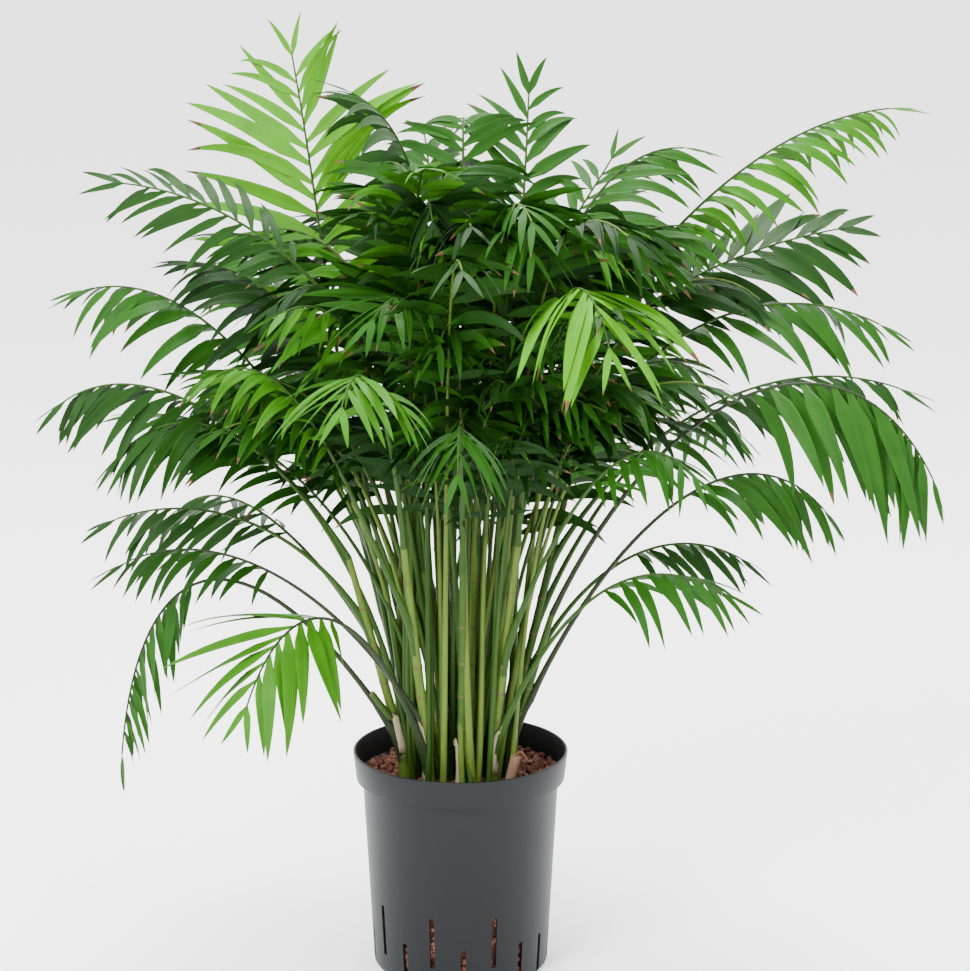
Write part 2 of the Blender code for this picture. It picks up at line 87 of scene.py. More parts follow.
# %% [markdown]
# A plant in a studio is lit from all sides. A sun or a spot lamp would draw hard shadows between
# the leaves, so the light is a pale room and three large soft lamps: one at the front left, a weak
# one at the front right, and one above and behind that brightens the upper fronds.

# %% Light
Lamp = namedtuple("Lamp", "name place target_height size watts")
LAMPS = (
    Lamp("key", (-1.3, -1.9, 2.3), 0.45, 1.1, 150.0),
    Lamp("fill", (1.9, -1.6, 1.3), 0.40, 1.6, 22.0),
    Lamp("top", (0.1, 0.6, 2.3), 0.50, 0.9, 90.0),
)
ROOM_COLOUR = (1.0, 1.0, 1.0, 1.0)
ROOM_STRENGTH = 2.9


def make_lamp(lamp):
    """A square lamp that looks at a point on the pot's axis."""
    data = bpy.data.lights.new(lamp.name, "AREA")
    data.size = lamp.size
    data.energy = lamp.watts
    obj = add_object(lamp.name, data)
    obj.location = lamp.place
    towards = UP * lamp.target_height - Vector(lamp.place)
    obj.rotation_euler = towards.to_track_quat("-Z", "Y").to_euler()


def make_room():
    world = bpy.data.worlds.new("pale_room")
    world.use_nodes = True
    background = world.node_tree.nodes["Background"]
    background.inputs["Color"].default_value = ROOM_COLOUR
    background.inputs["Strength"].default_value = ROOM_STRENGTH
    bpy.context.scene.world = world


make_room()
for lamp in LAMPS:
    make_lamp(lamp)
print("lamps:", len(LAMPS))

# %% [markdown]
# Every finish starts from the same shader, so one short function makes it. The floor is the first
# to use it. It could be a curved backdrop, but a matt plane so wide that its far edge stays out of
# sight looks the same from every side.

# %% Floor
FLOOR_SIZE = 60.0
FLOOR_COLOUR = (0.97, 0.97, 0.97, 1.0)
FLOOR_ROUGHNESS = 0.9


def new_finish(name, roughness):
    """A material and its shader, ready for more nodes."""
    material = bpy.data.materials.new(name)
    material.use_nodes = True
    shader = material.node_tree.nodes["Principled BSDF"]
    shader.inputs["Roughness"].default_value = roughness
    return material, material.node_tree.nodes, material.node_tree.links, shader


def make_floor():
    bpy.ops.mesh.primitive_plane_add(size=FLOOR_SIZE, location=(0.0, 0.0, 0.0))
    floor = bpy.context.object
    floor.name = "floor"
    material, _, _, shader = new_finish("pale_floor", FLOOR_ROUGHNESS)
    shader.inputs["Base Color"].default_value = FLOOR_COLOUR
    floor.data.materials.append(material)


make_floor()
print("floor:", FLOOR_SIZE, "m wide")

# %% [markdown]
# Colour and relief lie on each other on a real leaf or stem: a vein is paler and stands up. They
# could be two patterns, but one that drives both can't drift apart. Three helpers serve every
# finish: a share of a colour, a mix of two colours by a pattern, and a bump from a pattern.

# %% Finish helpers
def tint(colour, share):
    return (colour[0] * share, colour[1] * share, colour[2] * share, 1.0)


def mix_colours(nodes, links, factor, dark, light):
    mix = nodes.new("ShaderNodeMix")
    mix.data_type = "RGBA"
    links.new(factor, mix.inputs[0])
    mix.inputs[6].default_value = dark
    mix.inputs[7].default_value = light
    return mix.outputs[2]


def add_bump(nodes, links, shader, height, strength, distance):
    bump = nodes.new("ShaderNodeBump")
    bump.inputs["Strength"].default_value = strength
    bump.inputs["Distance"].default_value = distance
    links.new(height, bump.inputs["Height"])
    links.new(bump.outputs["Normal"], shader.inputs["Normal"])


print("half of a mid grey:", tint((0.5, 0.5, 0.5), 0.5))

# %% [markdown]
# A palm leaf is satin on top, with fine lengthwise veins and slightly uneven colour. Each frond
# takes one of five plain greens, from the yellow-green of a new frond to the near-black green of
# the old inner ones in the crown's shade. The greens are partly the leaves' own colour and partly
# painted light and shade: the lighter ones are painted light on fronds that the lamps reach, the
# darker ones painted shade on fronds that others cover. The veins run across the leaflet's own UV
# map, so they follow each leaflet.

# %% Leaf finish
# Painted light and shade: the paler greens are lit copies of the leaf's green and the two darkest are
# shaded copies, each partly the frond's own colour too.
LEAF_GREENS_AND_PAINTED_SHADE = {
    "new": (0.044, 0.170, 0.0035),
    "light": (0.024, 0.108, 0.0030),
    "full": (0.0100, 0.054, 0.0025),
    "deep": (0.0062, 0.032, 0.0020),
    "old": (0.0040, 0.020, 0.0018),
}
LEAF_ROUGHNESS = 0.42
LEAF_GLOSS = 0.09
LEAF_DARKEST = 0.66        # shares of a leaf's plain green
LEAF_LIGHTEST = 1.34
VEIN_SCALE = 2.6
VEIN_WAVER = 0.4
VEIN_SHARE = 0.35          # how much of the colour's change is by the veins
VEIN_BUMP = 0.35
VEIN_DEPTH = 0.0004
MOTTLE_SCALE = 42.0


def leaf_finish(name, colour):
    material, nodes, links, shader = new_finish(name, LEAF_ROUGHNESS)
    shader.inputs["Specular IOR Level"].default_value = LEAF_GLOSS
    coordinates = nodes.new("ShaderNodeTexCoord")
    veins = nodes.new("ShaderNodeTexWave")
    veins.bands_direction = "X"
    veins.inputs["Scale"].default_value = VEIN_SCALE
    veins.inputs["Distortion"].default_value = VEIN_WAVER
    links.new(coordinates.outputs["UV"], veins.inputs["Vector"])
    mottle = nodes.new("ShaderNodeTexNoise")
    mottle.inputs["Scale"].default_value = MOTTLE_SCALE
    links.new(coordinates.outputs["Object"], mottle.inputs["Vector"])
    both = nodes.new("ShaderNodeMath")
    both.operation = "MULTIPLY_ADD"
    links.new(veins.outputs["Fac"], both.inputs[0])
    both.inputs[1].default_value = VEIN_SHARE
    links.new(mottle.outputs["Fac"], both.inputs[2])
    dark, light = tint(colour, LEAF_DARKEST), tint(colour, LEAF_LIGHTEST)
    links.new(mix_colours(nodes, links, both.outputs[0], dark, light), shader.inputs["Base Color"])
    add_bump(nodes, links, shader, veins.outputs["Fac"], VEIN_BUMP, VEIN_DEPTH)
    return material


LEAVES = {shade: leaf_finish("leaf_" + shade, colour) for shade, colour in LEAF_GREENS_AND_PAINTED_SHADE.items()}
print("leaf greens:", len(LEAVES))

# %% [markdown]
# Canes, stalks and dry sheaths all have fine streaks along their height. A painted stripe would
# need a map on each tube. A noise that is squeezed sideways and stretched upwards gives the same
# streaks on every stem without one.

# %% Stem finishes
STREAK_STRETCH = (420.0, 420.0, 26.0)
STREAK_DETAIL = 3.0
STREAK_BUMP = 0.3
STREAK_DEPTH = 0.0005
STEM_GLOSS = 0.12


def streaked_finish(name, dark, light, roughness):
    """A finish with fine streaks along the height, for canes and stalks."""
    material, nodes, links, shader = new_finish(name, roughness)
    shader.inputs["Specular IOR Level"].default_value = STEM_GLOSS
    coordinates = nodes.new("ShaderNodeTexCoord")
    stretch = nodes.new("ShaderNodeMapping")
    stretch.inputs["Scale"].default_value = STREAK_STRETCH
    links.new(coordinates.outputs["Object"], stretch.inputs["Vector"])
    streaks = nodes.new("ShaderNodeTexNoise")
    streaks.inputs["Scale"].default_value = 1.0
    streaks.inputs["Detail"].default_value = STREAK_DETAIL
    links.new(stretch.outputs["Vector"], streaks.inputs["Vector"])
    colours = mix_colours(nodes, links, streaks.outputs["Fac"], (*dark, 1.0), (*light, 1.0))
    links.new(colours, shader.inputs["Base Color"])
    add_bump(nodes, links, shader, streaks.outputs["Fac"], STREAK_BUMP, STREAK_DEPTH)
    return material


TIP_BROWN = streaked_finish("withered_tip", (0.045, 0.022, 0.012), (0.12, 0.065, 0.03), 0.7)
PALE_CANE = streaked_finish("pale_cane", (0.030, 0.060, 0.006), (0.092, 0.145, 0.020), 0.5)
GREEN_CANE = streaked_finish("green_cane", (0.010, 0.030, 0.004), (0.038, 0.080, 0.009), 0.5)
CANE_RING = streaked_finish("cane_ring", (0.035, 0.030, 0.012), (0.11, 0.085, 0.035), 0.7)
STALK = streaked_finish("stalk_green", (0.008, 0.027, 0.003), (0.026, 0.064, 0.007), 0.5)
DARK_STALK = streaked_finish("stalk_dark", (0.008, 0.014, 0.006), (0.020, 0.032, 0.010), 0.45)
PAPER = streaked_finish("dry_sheath", (0.14, 0.10, 0.05), (0.42, 0.36, 0.25), 0.8)
DEAD_CANE = streaked_finish("dead_cane", (0.065, 0.032, 0.018), (0.17, 0.10, 0.065), 0.75)
print("finishes so far:", len(bpy.data.materials))

# %% [markdown]
# Moulded plastic and baked clay are even all over, down to a fine grain that breaks up their
# shine. One function with a grain size of its own makes both: very fine and satin for the pot,
# coarser and quite matt for the clay, which has a brown and a paler kind.

# %% Pot and clay finishes
GRAIN_DETAIL = 5.0
GRAIN_BUMP = 0.4
POT_GLOSS = 0.2


def grainy_finish(name, dark, light, grain, roughness, depth):
    """A finish with an even grain, for moulded plastic and baked clay."""
    material, nodes, links, shader = new_finish(name, roughness)
    coordinates = nodes.new("ShaderNodeTexCoord")
    noise = nodes.new("ShaderNodeTexNoise")
    noise.inputs["Scale"].default_value = grain
    noise.inputs["Detail"].default_value = GRAIN_DETAIL
    links.new(coordinates.outputs["Object"], noise.inputs["Vector"])
    colours = mix_colours(nodes, links, noise.outputs["Fac"], (*dark, 1.0), (*light, 1.0))
    links.new(colours, shader.inputs["Base Color"])
    add_bump(nodes, links, shader, noise.outputs["Fac"], GRAIN_BUMP, depth)
    return material


POT_GREY = grainy_finish("pot_plastic", (0.0028, 0.0036, 0.0045), (0.0040, 0.0050, 0.0061),
                         700.0, 0.46, 0.0002)
POT_GREY.node_tree.nodes["Principled BSDF"].inputs["Specular IOR Level"].default_value = POT_GLOSS
CLAY = grainy_finish("baked_clay", (0.045, 0.011, 0.006), (0.16, 0.048, 0.024), 260.0, 0.9, 0.0006)
CLAY_PALE = grainy_finish("baked_clay_pale", (0.10, 0.038, 0.020), (0.25, 0.11, 0.065),
                          240.0, 0.9, 0.0006)
print("finishes in all:", len(bpy.data.materials))

# %% [markdown]
# The pot is moulded in one piece: a tapering wall and a stepped collar at the rim. It could be a
# stack of cylinders, but one outline from the middle of its floor up the inside, over the rim and
# down the outside keeps the wall's real thickness and every rounding.

# %% Pot outline
POT_HEIGHT = 0.188
RIM_RADIUS = 0.090
COLLAR_HEIGHT = 0.024
COLLAR_FOOT_RADIUS = 0.0876
NECK_RADIUS = 0.0822
FOOT_RADIUS = 0.0735
FOOT_ROUNDING = 0.005
FLOOR_ROUNDING = 0.0035
EDGE_BEVEL = 0.0006
WALL = 0.002
FLOOR_STEPS = 4
RIM_STEPS = 6
BEVEL_STEPS = 3
FOOT_STEPS = 6


def wall_radius(height):
    """The pot wall's outer radius between its foot and its neck."""
    share = (height - FOOT_ROUNDING) / (POT_HEIGHT - COLLAR_HEIGHT - FOOT_ROUNDING)
    return FOOT_RADIUS + (NECK_RADIUS - FOOT_RADIUS) * share


def arc(centre, radius, first, last, steps):
    """Radius and height pairs round part of a circle, in degrees."""
    turns = [math.radians(first + (last - first) * i / steps) for i in range(steps + 1)]
    return [(centre[0] + math.cos(a) * radius, centre[1] + math.sin(a) * radius) for a in turns]


def pot_outline():
    neck = POT_HEIGHT - COLLAR_HEIGHT
    floor_edge = wall_radius(WALL + FLOOR_ROUNDING) - WALL
    floor = (floor_edge - FLOOR_ROUNDING, WALL + FLOOR_ROUNDING)
    inside = [(0.0, WALL)] + arc(floor, FLOOR_ROUNDING, 270, 360, FLOOR_STEPS)
    inside += [(NECK_RADIUS - WALL, neck - WALL), (COLLAR_FOOT_RADIUS - WALL, neck + WALL)]
    rim = arc((RIM_RADIUS - WALL / 2, POT_HEIGHT - WALL / 2), WALL / 2, 180, 0, RIM_STEPS)
    edge = (COLLAR_FOOT_RADIUS - EDGE_BEVEL, neck + EDGE_BEVEL)
    collar = arc(edge, EDGE_BEVEL, 360, 270, BEVEL_STEPS)
    foot = arc((FOOT_RADIUS - FOOT_ROUNDING, FOOT_ROUNDING), FOOT_ROUNDING, 360, 270, FOOT_STEPS)
    return inside + rim + collar + [(NECK_RADIUS, neck - EDGE_BEVEL)] + foot + [(0.0, 0.0)]


print("points in the pot's outline:", len(pot_outline()))

# %% [markdown]
# Turning the outline about the pot's axis makes the shell. Each ring of points could be worked out
# one by one, but the Screw modifier does it in one step and merges the points that lie on the
# axis. Its result is then made a plain mesh, so that the next steps work on what is seen.

# %% Turned shapes
POT_FACETS = 120
MERGE_DISTANCE = 0.00001


def turned(name, outline, facets):
    """A mesh object turned about the Z axis, closed where its outline meets the axis."""
    mesh = bpy.data.meshes.new(name)
    points = [(radius, 0.0, height) for radius, height in outline]
    mesh.from_pydata(points, [(i, i + 1) for i in range(len(points) - 1)], [])
    obj = add_object(name, mesh)
    screw = obj.modifiers.new("turn", "SCREW")
    screw.angle = math.tau
    screw.steps = facets
    screw.render_steps = facets
    screw.use_merge_vertices = True
    screw.merge_threshold = MERGE_DISTANCE
    return obj


def applied(obj):
    """The object with its modifiers turned into a plain mesh."""
    graph = bpy.context.evaluated_depsgraph_get()
    mesh = bpy.data.meshes.new_from_object(obj.evaluated_get(graph))
    name = obj.name
    bpy.data.objects.remove(obj, do_unlink=True)
    return add_object(name, mesh)


def smooth(mesh, angle):
    mesh.shade_smooth()
    mesh.set_sharp_from_angle(angle=math.radians(angle))


print("width of one of the pot's facets:", round(math.tau * RIM_RADIUS / POT_FACETS, 4))

# %% [markdown]
# Upright slots near the foot let water in. Three of every nine stand higher than the others, as on
# the real pot. Drawing their edges into the wall would be slow work, so plain boxes stand where
# the slots go, and a Boolean cuts all of them out of the shell at once.

# %% Pot
POT_SMOOTH = 35.0          # degrees
SLOT_COUNT = 18
SLOT_WIDTH = 0.0042
SLOT_TURN = 2.0            # degrees from the front to the first slot
HIGH_SLOT = (0.019, 0.063)     # heights of its two ends
LOW_SLOT = (-0.001, 0.036)
HIGH_SLOT_PLACES = (1, 6, 8)
SLOT_PATTERN = 9
SLOT_REACH = (0.064, 0.095)    # radii between which a slot cuts


def slot_cutter():
    """A box wherever a slot goes through the wall."""
    mesh = bpy.data.meshes.new("slot_cutter")
    bm = bmesh.new()
    for index in range(SLOT_COUNT):
        low, high = HIGH_SLOT if index % SLOT_PATTERN in HIGH_SLOT_PLACES else LOW_SLOT
        size = Matrix.Diagonal((SLOT_REACH[1] - SLOT_REACH[0], SLOT_WIDTH, high - low, 1.0))
        middle = (sum(SLOT_REACH) / 2, 0.0, (low + high) / 2)
        turn = math.radians(SLOT_TURN - 90 + index * 360 / SLOT_COUNT)
        place = Matrix.Rotation(turn, 4, "Z") @ Matrix.Translation(middle) @ size
        bmesh.ops.create_cube(bm, size=1.0, matrix=place)
    bm.to_mesh(mesh)
    bm.free()
    return add_object("slot_cutter", mesh)


def make_pot():
    pot = turned("pot_shell", pot_outline(), POT_FACETS)
    cutter = slot_cutter()
    cut = pot.modifiers.new("slots", "BOOLEAN")
    cut.solver = "EXACT"
    cut.object = cutter
    pot = applied(pot)
    bpy.data.objects.remove(cutter, do_unlink=True)
    smooth(pot.data, POT_SMOOTH)
    pot.data.materials.clear()
    pot.data.materials.append(POT_GREY)
    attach(pot, "root")
    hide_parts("pot")
    return pot


print("pot faces:", len(make_pot().data.polygons))

# %% [markdown]
# Baked clay granules are rough rounded lumps, 4 to 7 mm across. A plain ball would look like a
# bead, so each of four kinds is a ball whose points are pushed in and out at random and which is
# squashed a little. With a few dozen points each they can be repeated by the thousand.

# %% Clay lumps
LUMP_KINDS = 4
LUMP_SIDES = (0.75, 1.1)
LUMP_HEIGHTS = (0.6, 0.95)
LUMP_DENTS = (0.84, 1.10)
LUMP_FIRST_SEED = 40


def lump_mesh(name, seed):
    """A rough rounded lump of clay of radius 1."""
    bm = bmesh.new()
    bmesh.ops.create_icosphere(bm, subdivisions=2, radius=1.0)
    rng = random.Random(seed)
    squash = Vector([rng.uniform(*sides) for sides in (LUMP_SIDES, LUMP_SIDES, LUMP_HEIGHTS)])
    for vertex in bm.verts:
        vertex.co = vertex.co * rng.uniform(*LUMP_DENTS) * squash
    mesh = bpy.data.meshes.new(name)
    bm.to_mesh(mesh)
    bm.free()
    mesh.shade_smooth()
    return add_object(name, mesh)


LUMPS = [lump_mesh("lump_" + str(i), LUMP_FIRST_SEED + i) for i in range(LUMP_KINDS)]
print("faces of one lump:", len(LUMPS[0].data.polygons))

# %% [markdown]
# Thousands of lumps can't be placed by hand. A loop could do it, but a Geometry Nodes tree keeps the
# whole rule in one place, for any surface. It scatters points over a sheet, sets a lump on each
# with its own turn and size, and marks one lump in four. Then it makes all of them real meshes and
# gives them the brown clay, and the marked ones the paler clay.

# %% Scattering tree
LUMP_SIZES = (0.65, 1.25)
PALE_SHARE = 0.25


def scatter_tree(lumps):
    """A node tree that scatters lumps over a surface."""
    tree = bpy.data.node_groups.new("scatter_granules", "GeometryNodeTree")
    tree.interface.new_socket("Geometry", in_out="INPUT", socket_type="NodeSocketGeometry")
    for name in ("Density", "Size"):
        tree.interface.new_socket(name, in_out="INPUT", socket_type="NodeSocketFloat")
    tree.interface.new_socket("Seed", in_out="INPUT", socket_type="NodeSocketInt")
    tree.interface.new_socket("Geometry", in_out="OUTPUT", socket_type="NodeSocketGeometry")
    nodes, links = tree.nodes, tree.links
    start, end = nodes.new("NodeGroupInput"), nodes.new("NodeGroupOutput")
    points = nodes.new("GeometryNodeDistributePointsOnFaces")
    links.new(start.outputs["Geometry"], points.inputs["Mesh"])
    links.new(start.outputs["Density"], points.inputs["Density"])
    links.new(start.outputs["Seed"], points.inputs["Seed"])
    kinds = nodes.new("GeometryNodeGeometryToInstance")
    for lump in reversed(lumps):
        info = nodes.new("GeometryNodeObjectInfo")
        info.inputs["Object"].default_value = lump
        links.new(info.outputs["Geometry"], kinds.inputs[0])
    turn = nodes.new("FunctionNodeRandomValue")
    turn.data_type = "FLOAT_VECTOR"
    turn.inputs[1].default_value = (math.tau, math.tau, math.tau)
    grow = nodes.new("FunctionNodeRandomValue")
    grow.inputs[2].default_value, grow.inputs[3].default_value = LUMP_SIZES
    size = nodes.new("ShaderNodeMath")
    size.operation = "MULTIPLY"
    links.new(grow.outputs[1], size.inputs[0])
    links.new(start.outputs["Size"], size.inputs[1])
    place = nodes.new("GeometryNodeInstanceOnPoints")
    place.inputs["Pick Instance"].default_value = True
    links.new(points.outputs["Points"], place.inputs["Points"])
    links.new(kinds.outputs[0], place.inputs["Instance"])
    links.new(turn.outputs[0], place.inputs["Rotation"])
    links.new(size.outputs[0], place.inputs["Scale"])
    pale = nodes.new("FunctionNodeRandomValue")
    pale.data_type = "BOOLEAN"
    pale.inputs["Probability"].default_value = PALE_SHARE
    mark = nodes.new("GeometryNodeStoreNamedAttribute")
    mark.data_type = "BOOLEAN"
    mark.domain = "INSTANCE"
    mark.inputs["Name"].default_value = "pale"
    links.new(place.outputs["Instances"], mark.inputs["Geometry"])
    links.new(pale.outputs[3], mark.inputs["Value"])
    real = nodes.new("GeometryNodeRealizeInstances")
    links.new(mark.outputs["Geometry"], real.inputs["Geometry"])
    marked = nodes.new("GeometryNodeInputNamedAttribute")
    marked.data_type = "BOOLEAN"
    marked.inputs["Name"].default_value = "pale"
    brown = nodes.new("GeometryNodeSetMaterial")
    brown.inputs["Material"].default_value = CLAY
    links.new(real.outputs["Geometry"], brown.inputs["Geometry"])
    light = nodes.new("GeometryNodeSetMaterial")
    light.inputs["Material"].default_value = CLAY_PALE
    links.new(brown.outputs["Geometry"], light.inputs["Geometry"])
    links.new(marked.outputs["Attribute"], light.inputs["Selection"])
    links.new(light.outputs["Geometry"], end.inputs["Geometry"])
    return tree


SCATTER = scatter_tree(LUMPS)
print("nodes in the scattering tree:", len(SCATTER.nodes))

# %% [markdown]
# The granules show on top and through the slots. Filling the whole pot with lumps would waste
# most of them, so they are scattered just under those two surfaces only. A plain core of the same
# clay behind them keeps the fill from being seen through.

# %% Clay granules
GRANULE_TOP = 0.167
GRANULE_SIZE = 0.0030      # the radius of a lump of middle size
GRANULE_DENSITY = 42000.0  # lumps per square metre
DENSER_ON_TOP = 1.3
SCATTER_SEED = 7
CORE_DEPTH = 0.0045        # the core lies this far under the granules' surface
SLOT_BAND_TOP = 0.070      # granules show through the slots below this height
LEVEL_WIDTH = 0.012        # the granules rise to the wall over this width
DEPTH_AT_SLOTS = 0.95      # lump radii between the pot's wall and the lumps' middles
DEPTH_ON_TOP = 0.7         # lump radii between the granules' surface and the lumps' middles
FILL_FACETS = 48


def core_outline():
    """Radius and height pairs of the core, from its top's middle to its foot's."""
    low = WALL + CORE_DEPTH
    top = GRANULE_TOP - CORE_DEPTH
    side = (NECK_RADIUS - WALL - CORE_DEPTH, top)
    return [(0.0, top), side, (wall_radius(low) - WALL - CORE_DEPTH, low), (0.0, low)]


def set_inputs(modifier, values):
    """Set a node tree's named inputs by their identifiers."""
    for item in modifier.node_group.interface.items_tree:
        if item.in_out == "INPUT" and item.name in values:
            modifier[item.identifier] = values[item.name]


def scattered(name, outline, density):
    """Lumps of clay scattered over a turned sheet, as a plain mesh."""
    sheet = turned(name, outline, FILL_FACETS)
    scatter = sheet.modifiers.new("scatter", "NODES")
    scatter.node_group = SCATTER
    set_inputs(scatter, {"Density": density, "Size": GRANULE_SIZE, "Seed": SCATTER_SEED})
    sheet = applied(sheet)
    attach(sheet, "root")
    return sheet


def make_core():
    core = applied(turned("clay_core", core_outline(), FILL_FACETS))
    core.data.materials.append(CLAY)
    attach(core, "root")


def make_granules():
    depth = GRANULE_SIZE * DEPTH_AT_SLOTS
    lower = [(wall_radius(height) - WALL - depth, height) for height in (SLOT_BAND_TOP, WALL + depth)]
    scattered("granules_at_slots", lower, GRANULE_DENSITY)
    middle = GRANULE_TOP - GRANULE_SIZE * DEPTH_ON_TOP
    edge = COLLAR_FOOT_RADIUS - WALL - GRANULE_SIZE * DEPTH_ON_TOP
    upper = [(0.0, middle), (NECK_RADIUS - LEVEL_WIDTH, middle), (edge, GRANULE_TOP)]
    top = scattered("granules_on_top", upper, GRANULE_DENSITY * DENSER_ON_TOP)
    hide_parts("clay_granules")
    return top


make_core()
print("granule faces on top:", len(make_granules().data.polygons))
for lump in LUMPS:
    bpy.data.objects.remove(lump, do_unlink=True)

# %% [markdown]
# Canes, stalks and ribs are all tubes along a path. A curve with a bevel could make them, but a
# cane swells at its rings, and a list with one radius for each point says that plainly. Each ring
# of points stands square to the path, and both ends are closed.

# %% Tubes
def tube(points, radii, sides):
    """Points and faces of a closed tube along a path."""
    vertices, faces = [], []
    side = None
    for index, middle in enumerate(points):
        before = points[max(0, index - 1)]
        after = points[min(len(points) - 1, index + 1)]
        along = (after - before).normalized()
        if side is None:
            side = along.orthogonal().normalized()
        side = (side - along * side.dot(along)).normalized()
        other = along.cross(side)
        for corner in range(sides):
            turn = math.tau * corner / sides
            out = side * math.cos(turn) + other * math.sin(turn)
            vertices.append(middle + out * radii[index])
    for ring in range(len(points) - 1):
        for corner in range(sides):
            a, b = ring * sides + corner, ring * sides + (corner + 1) % sides
            faces.append((a, b, b + sides, a + sides))
    faces.append(tuple(range(sides - 1, -1, -1)))
    faces.append(tuple(range((len(points) - 1) * sides, len(points) * sides)))
    return vertices, faces


print("faces of a tube of 8 sides and 2 rings:", len(tube([Vector(), UP], [1.0, 1.0], 8)[1]))

# %% [markdown]
# A frond has some twenty to forty leaflets, and a plant has thousands. As single objects they
# would be slow to handle, so a small class collects the points, faces, UV places and finishes of
# one piece, and makes one object of them, with its body and the nodes it stands for.

# %% One piece from many parts
MIDDLE_OF_MAP = (0.5, 0.5)
STEM_SMOOTH = 50.0         # degrees


class Builder:
    """Collects the points, faces, UVs and materials of one piece."""

    def __init__(self, name):
        self.name = name
        self.vertices = []
        self.faces = []
        self.uvs = []
        self.finishes = []
        self.indices = []

    def add(self, vertices, faces, finish, uvs=None):
        first = len(self.vertices)
        self.vertices += vertices
        if finish not in self.finishes:
            self.finishes.append(finish)
        number = self.finishes.index(finish)
        for face in faces:
            self.faces.append(tuple(first + corner for corner in face))
            self.indices.append(number)
            self.uvs += [uvs[corner] for corner in face] if uvs else [MIDDLE_OF_MAP] * len(face)

    def build(self, nodes=(), angle=STEM_SMOOTH):
        mesh = bpy.data.meshes.new(self.name)
        mesh.from_pydata(self.vertices, [], self.faces)
        layer = mesh.uv_layers.new(name="UVMap")
        for loop, uv in zip(layer.data, self.uvs):
            loop.uv = uv
        for finish in self.finishes:
            mesh.materials.append(finish)
        mesh.polygons.foreach_set("material_index", self.indices)
        smooth(mesh, angle)
        obj = add_object(self.name, mesh)
        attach(obj, "root")
        if nodes:
            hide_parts(*nodes)
        return obj


print("map place of stems and stalks:", MIDDLE_OF_MAP)

# %% [markdown]
# Thirteen canes carry the crown. Each stands on the granules with a slightly flared foot, leans
# outwards and thins towards its end. Their middle lines are worked out by the same rule as in the
# solid model, so that the bark lies just inside each solid cane.

# %% Cane paths
Cane = namedtuple("Cane", "name azimuth foot_radius lean top thickness")
CANES = (
    Cane("left", 196, 0.048, 15, 0.360, 0.0056),
    Cane("left_back", 158, 0.044, 12, 0.430, 0.0050),
    Cane("back", 105, 0.044, 12, 0.420, 0.0050),
    Cane("back_right", 62, 0.044, 12, 0.420, 0.0048),
    Cane("right_back", 22, 0.042, 14, 0.420, 0.0050),
    Cane("right", 346, 0.040, 17, 0.310, 0.0052),
    Cane("front_right", 308, 0.042, 10, 0.380, 0.0056),
    Cane("front", 272, 0.044, 8, 0.360, 0.0054),
    Cane("front_left", 236, 0.046, 10, 0.380, 0.0058),
    Cane("inner_right", 25, 0.018, 6, 0.500, 0.0054),
    Cane("inner_back", 115, 0.020, 4, 0.480, 0.0050),
    Cane("inner_left", 205, 0.018, 6, 0.470, 0.0056),
    Cane("inner_front", 290, 0.020, 5, 0.440, 0.0050),
)
GAP = 0.0003
CANE_FLARE = 1.25
CANE_FLARE_HEIGHT = 0.014
CANE_TAPER = 0.62
CANE_UPRIGHT = 0.018
CANE_SLIM = 0.80           # the bark's radius over the solid cane's
CANE_BY_NAME = {cane.name: cane for cane in CANES}


def around(azimuth):
    angle = math.radians(azimuth)
    return Vector((math.cos(angle), math.sin(angle), 0.0))


def cane_axis(cane, height):
    above = height - GRANULE_TOP - GAP
    run = above - CANE_UPRIGHT * (1.0 - math.exp(-above / CANE_UPRIGHT))
    out = cane.foot_radius + math.tan(math.radians(cane.lean)) * run
    return around(cane.azimuth) * out + Vector((0.0, 0.0, height))


def cane_radius(cane, height):
    low = GRANULE_TOP + GAP
    share = (height - low) / (cane.top - low)
    flare = (CANE_FLARE - 1.0) * max(0.0, 1.0 - (height - low) / CANE_FLARE_HEIGHT)
    return cane.thickness * (1.0 + (CANE_TAPER - 1.0) * share + flare)


print("lowest and highest cane end:", min(c.top for c in CANES), max(c.top for c in CANES))

# %% [markdown]
# Old fronds have left a ring every few centimetres: a low swelling with a brownish scar. The rings
# are closer together near the foot, as on a real palm. A bump in the finish wouldn't show on the
# cane's edge, so the swellings are in the tube's radii, and the narrow band of faces on each one
# gets the scar's colour.

# %% Canes
CANE_SIDES = 14
CANE_STEPS = 24
RING_FIRST = 0.016         # the lowest two rings are about this far apart
RING_FIRST_PLACE = (0.6, 1.2)
RING_GROWTH = 1.16
RING_UNEVEN = (0.85, 1.15)
RING_END = 0.01            # no ring is closer to a cane's end than this
RING_SWELL = 0.13
RING_HALF_HEIGHT = 0.0016
RING_ROOM = 0.004          # no plain ring of points is closer to a scar than this
SCAR_OFFSETS = (-0.0018, -0.0007, 0.0007, 0.0022)
SCAR_HALF_HEIGHT = 0.0009
PALE_CANES = ("left", "front_left", "front_right", "inner_front", "inner_left")


def ring_heights(cane, rng):
    heights, step = [], RING_FIRST
    height = GRANULE_TOP + step * rng.uniform(*RING_FIRST_PLACE)
    while height < cane.top - RING_END:
        heights.append(height)
        step *= RING_GROWTH
        height += step * rng.uniform(*RING_UNEVEN)
    return heights


def cane_heights(cane, rings):
    """Heights of the tube's points: evenly spaced ones, and four closer ones at each ring."""
    low = GRANULE_TOP + GAP
    plain = [low + (cane.top - GRANULE_TOP - GAP) * i / CANE_STEPS for i in range(CANE_STEPS + 1)]
    plain = [height for height in plain if all(abs(height - ring) > RING_ROOM for ring in rings)]
    return sorted([ring + offset for ring in rings for offset in SCAR_OFFSETS] + plain)


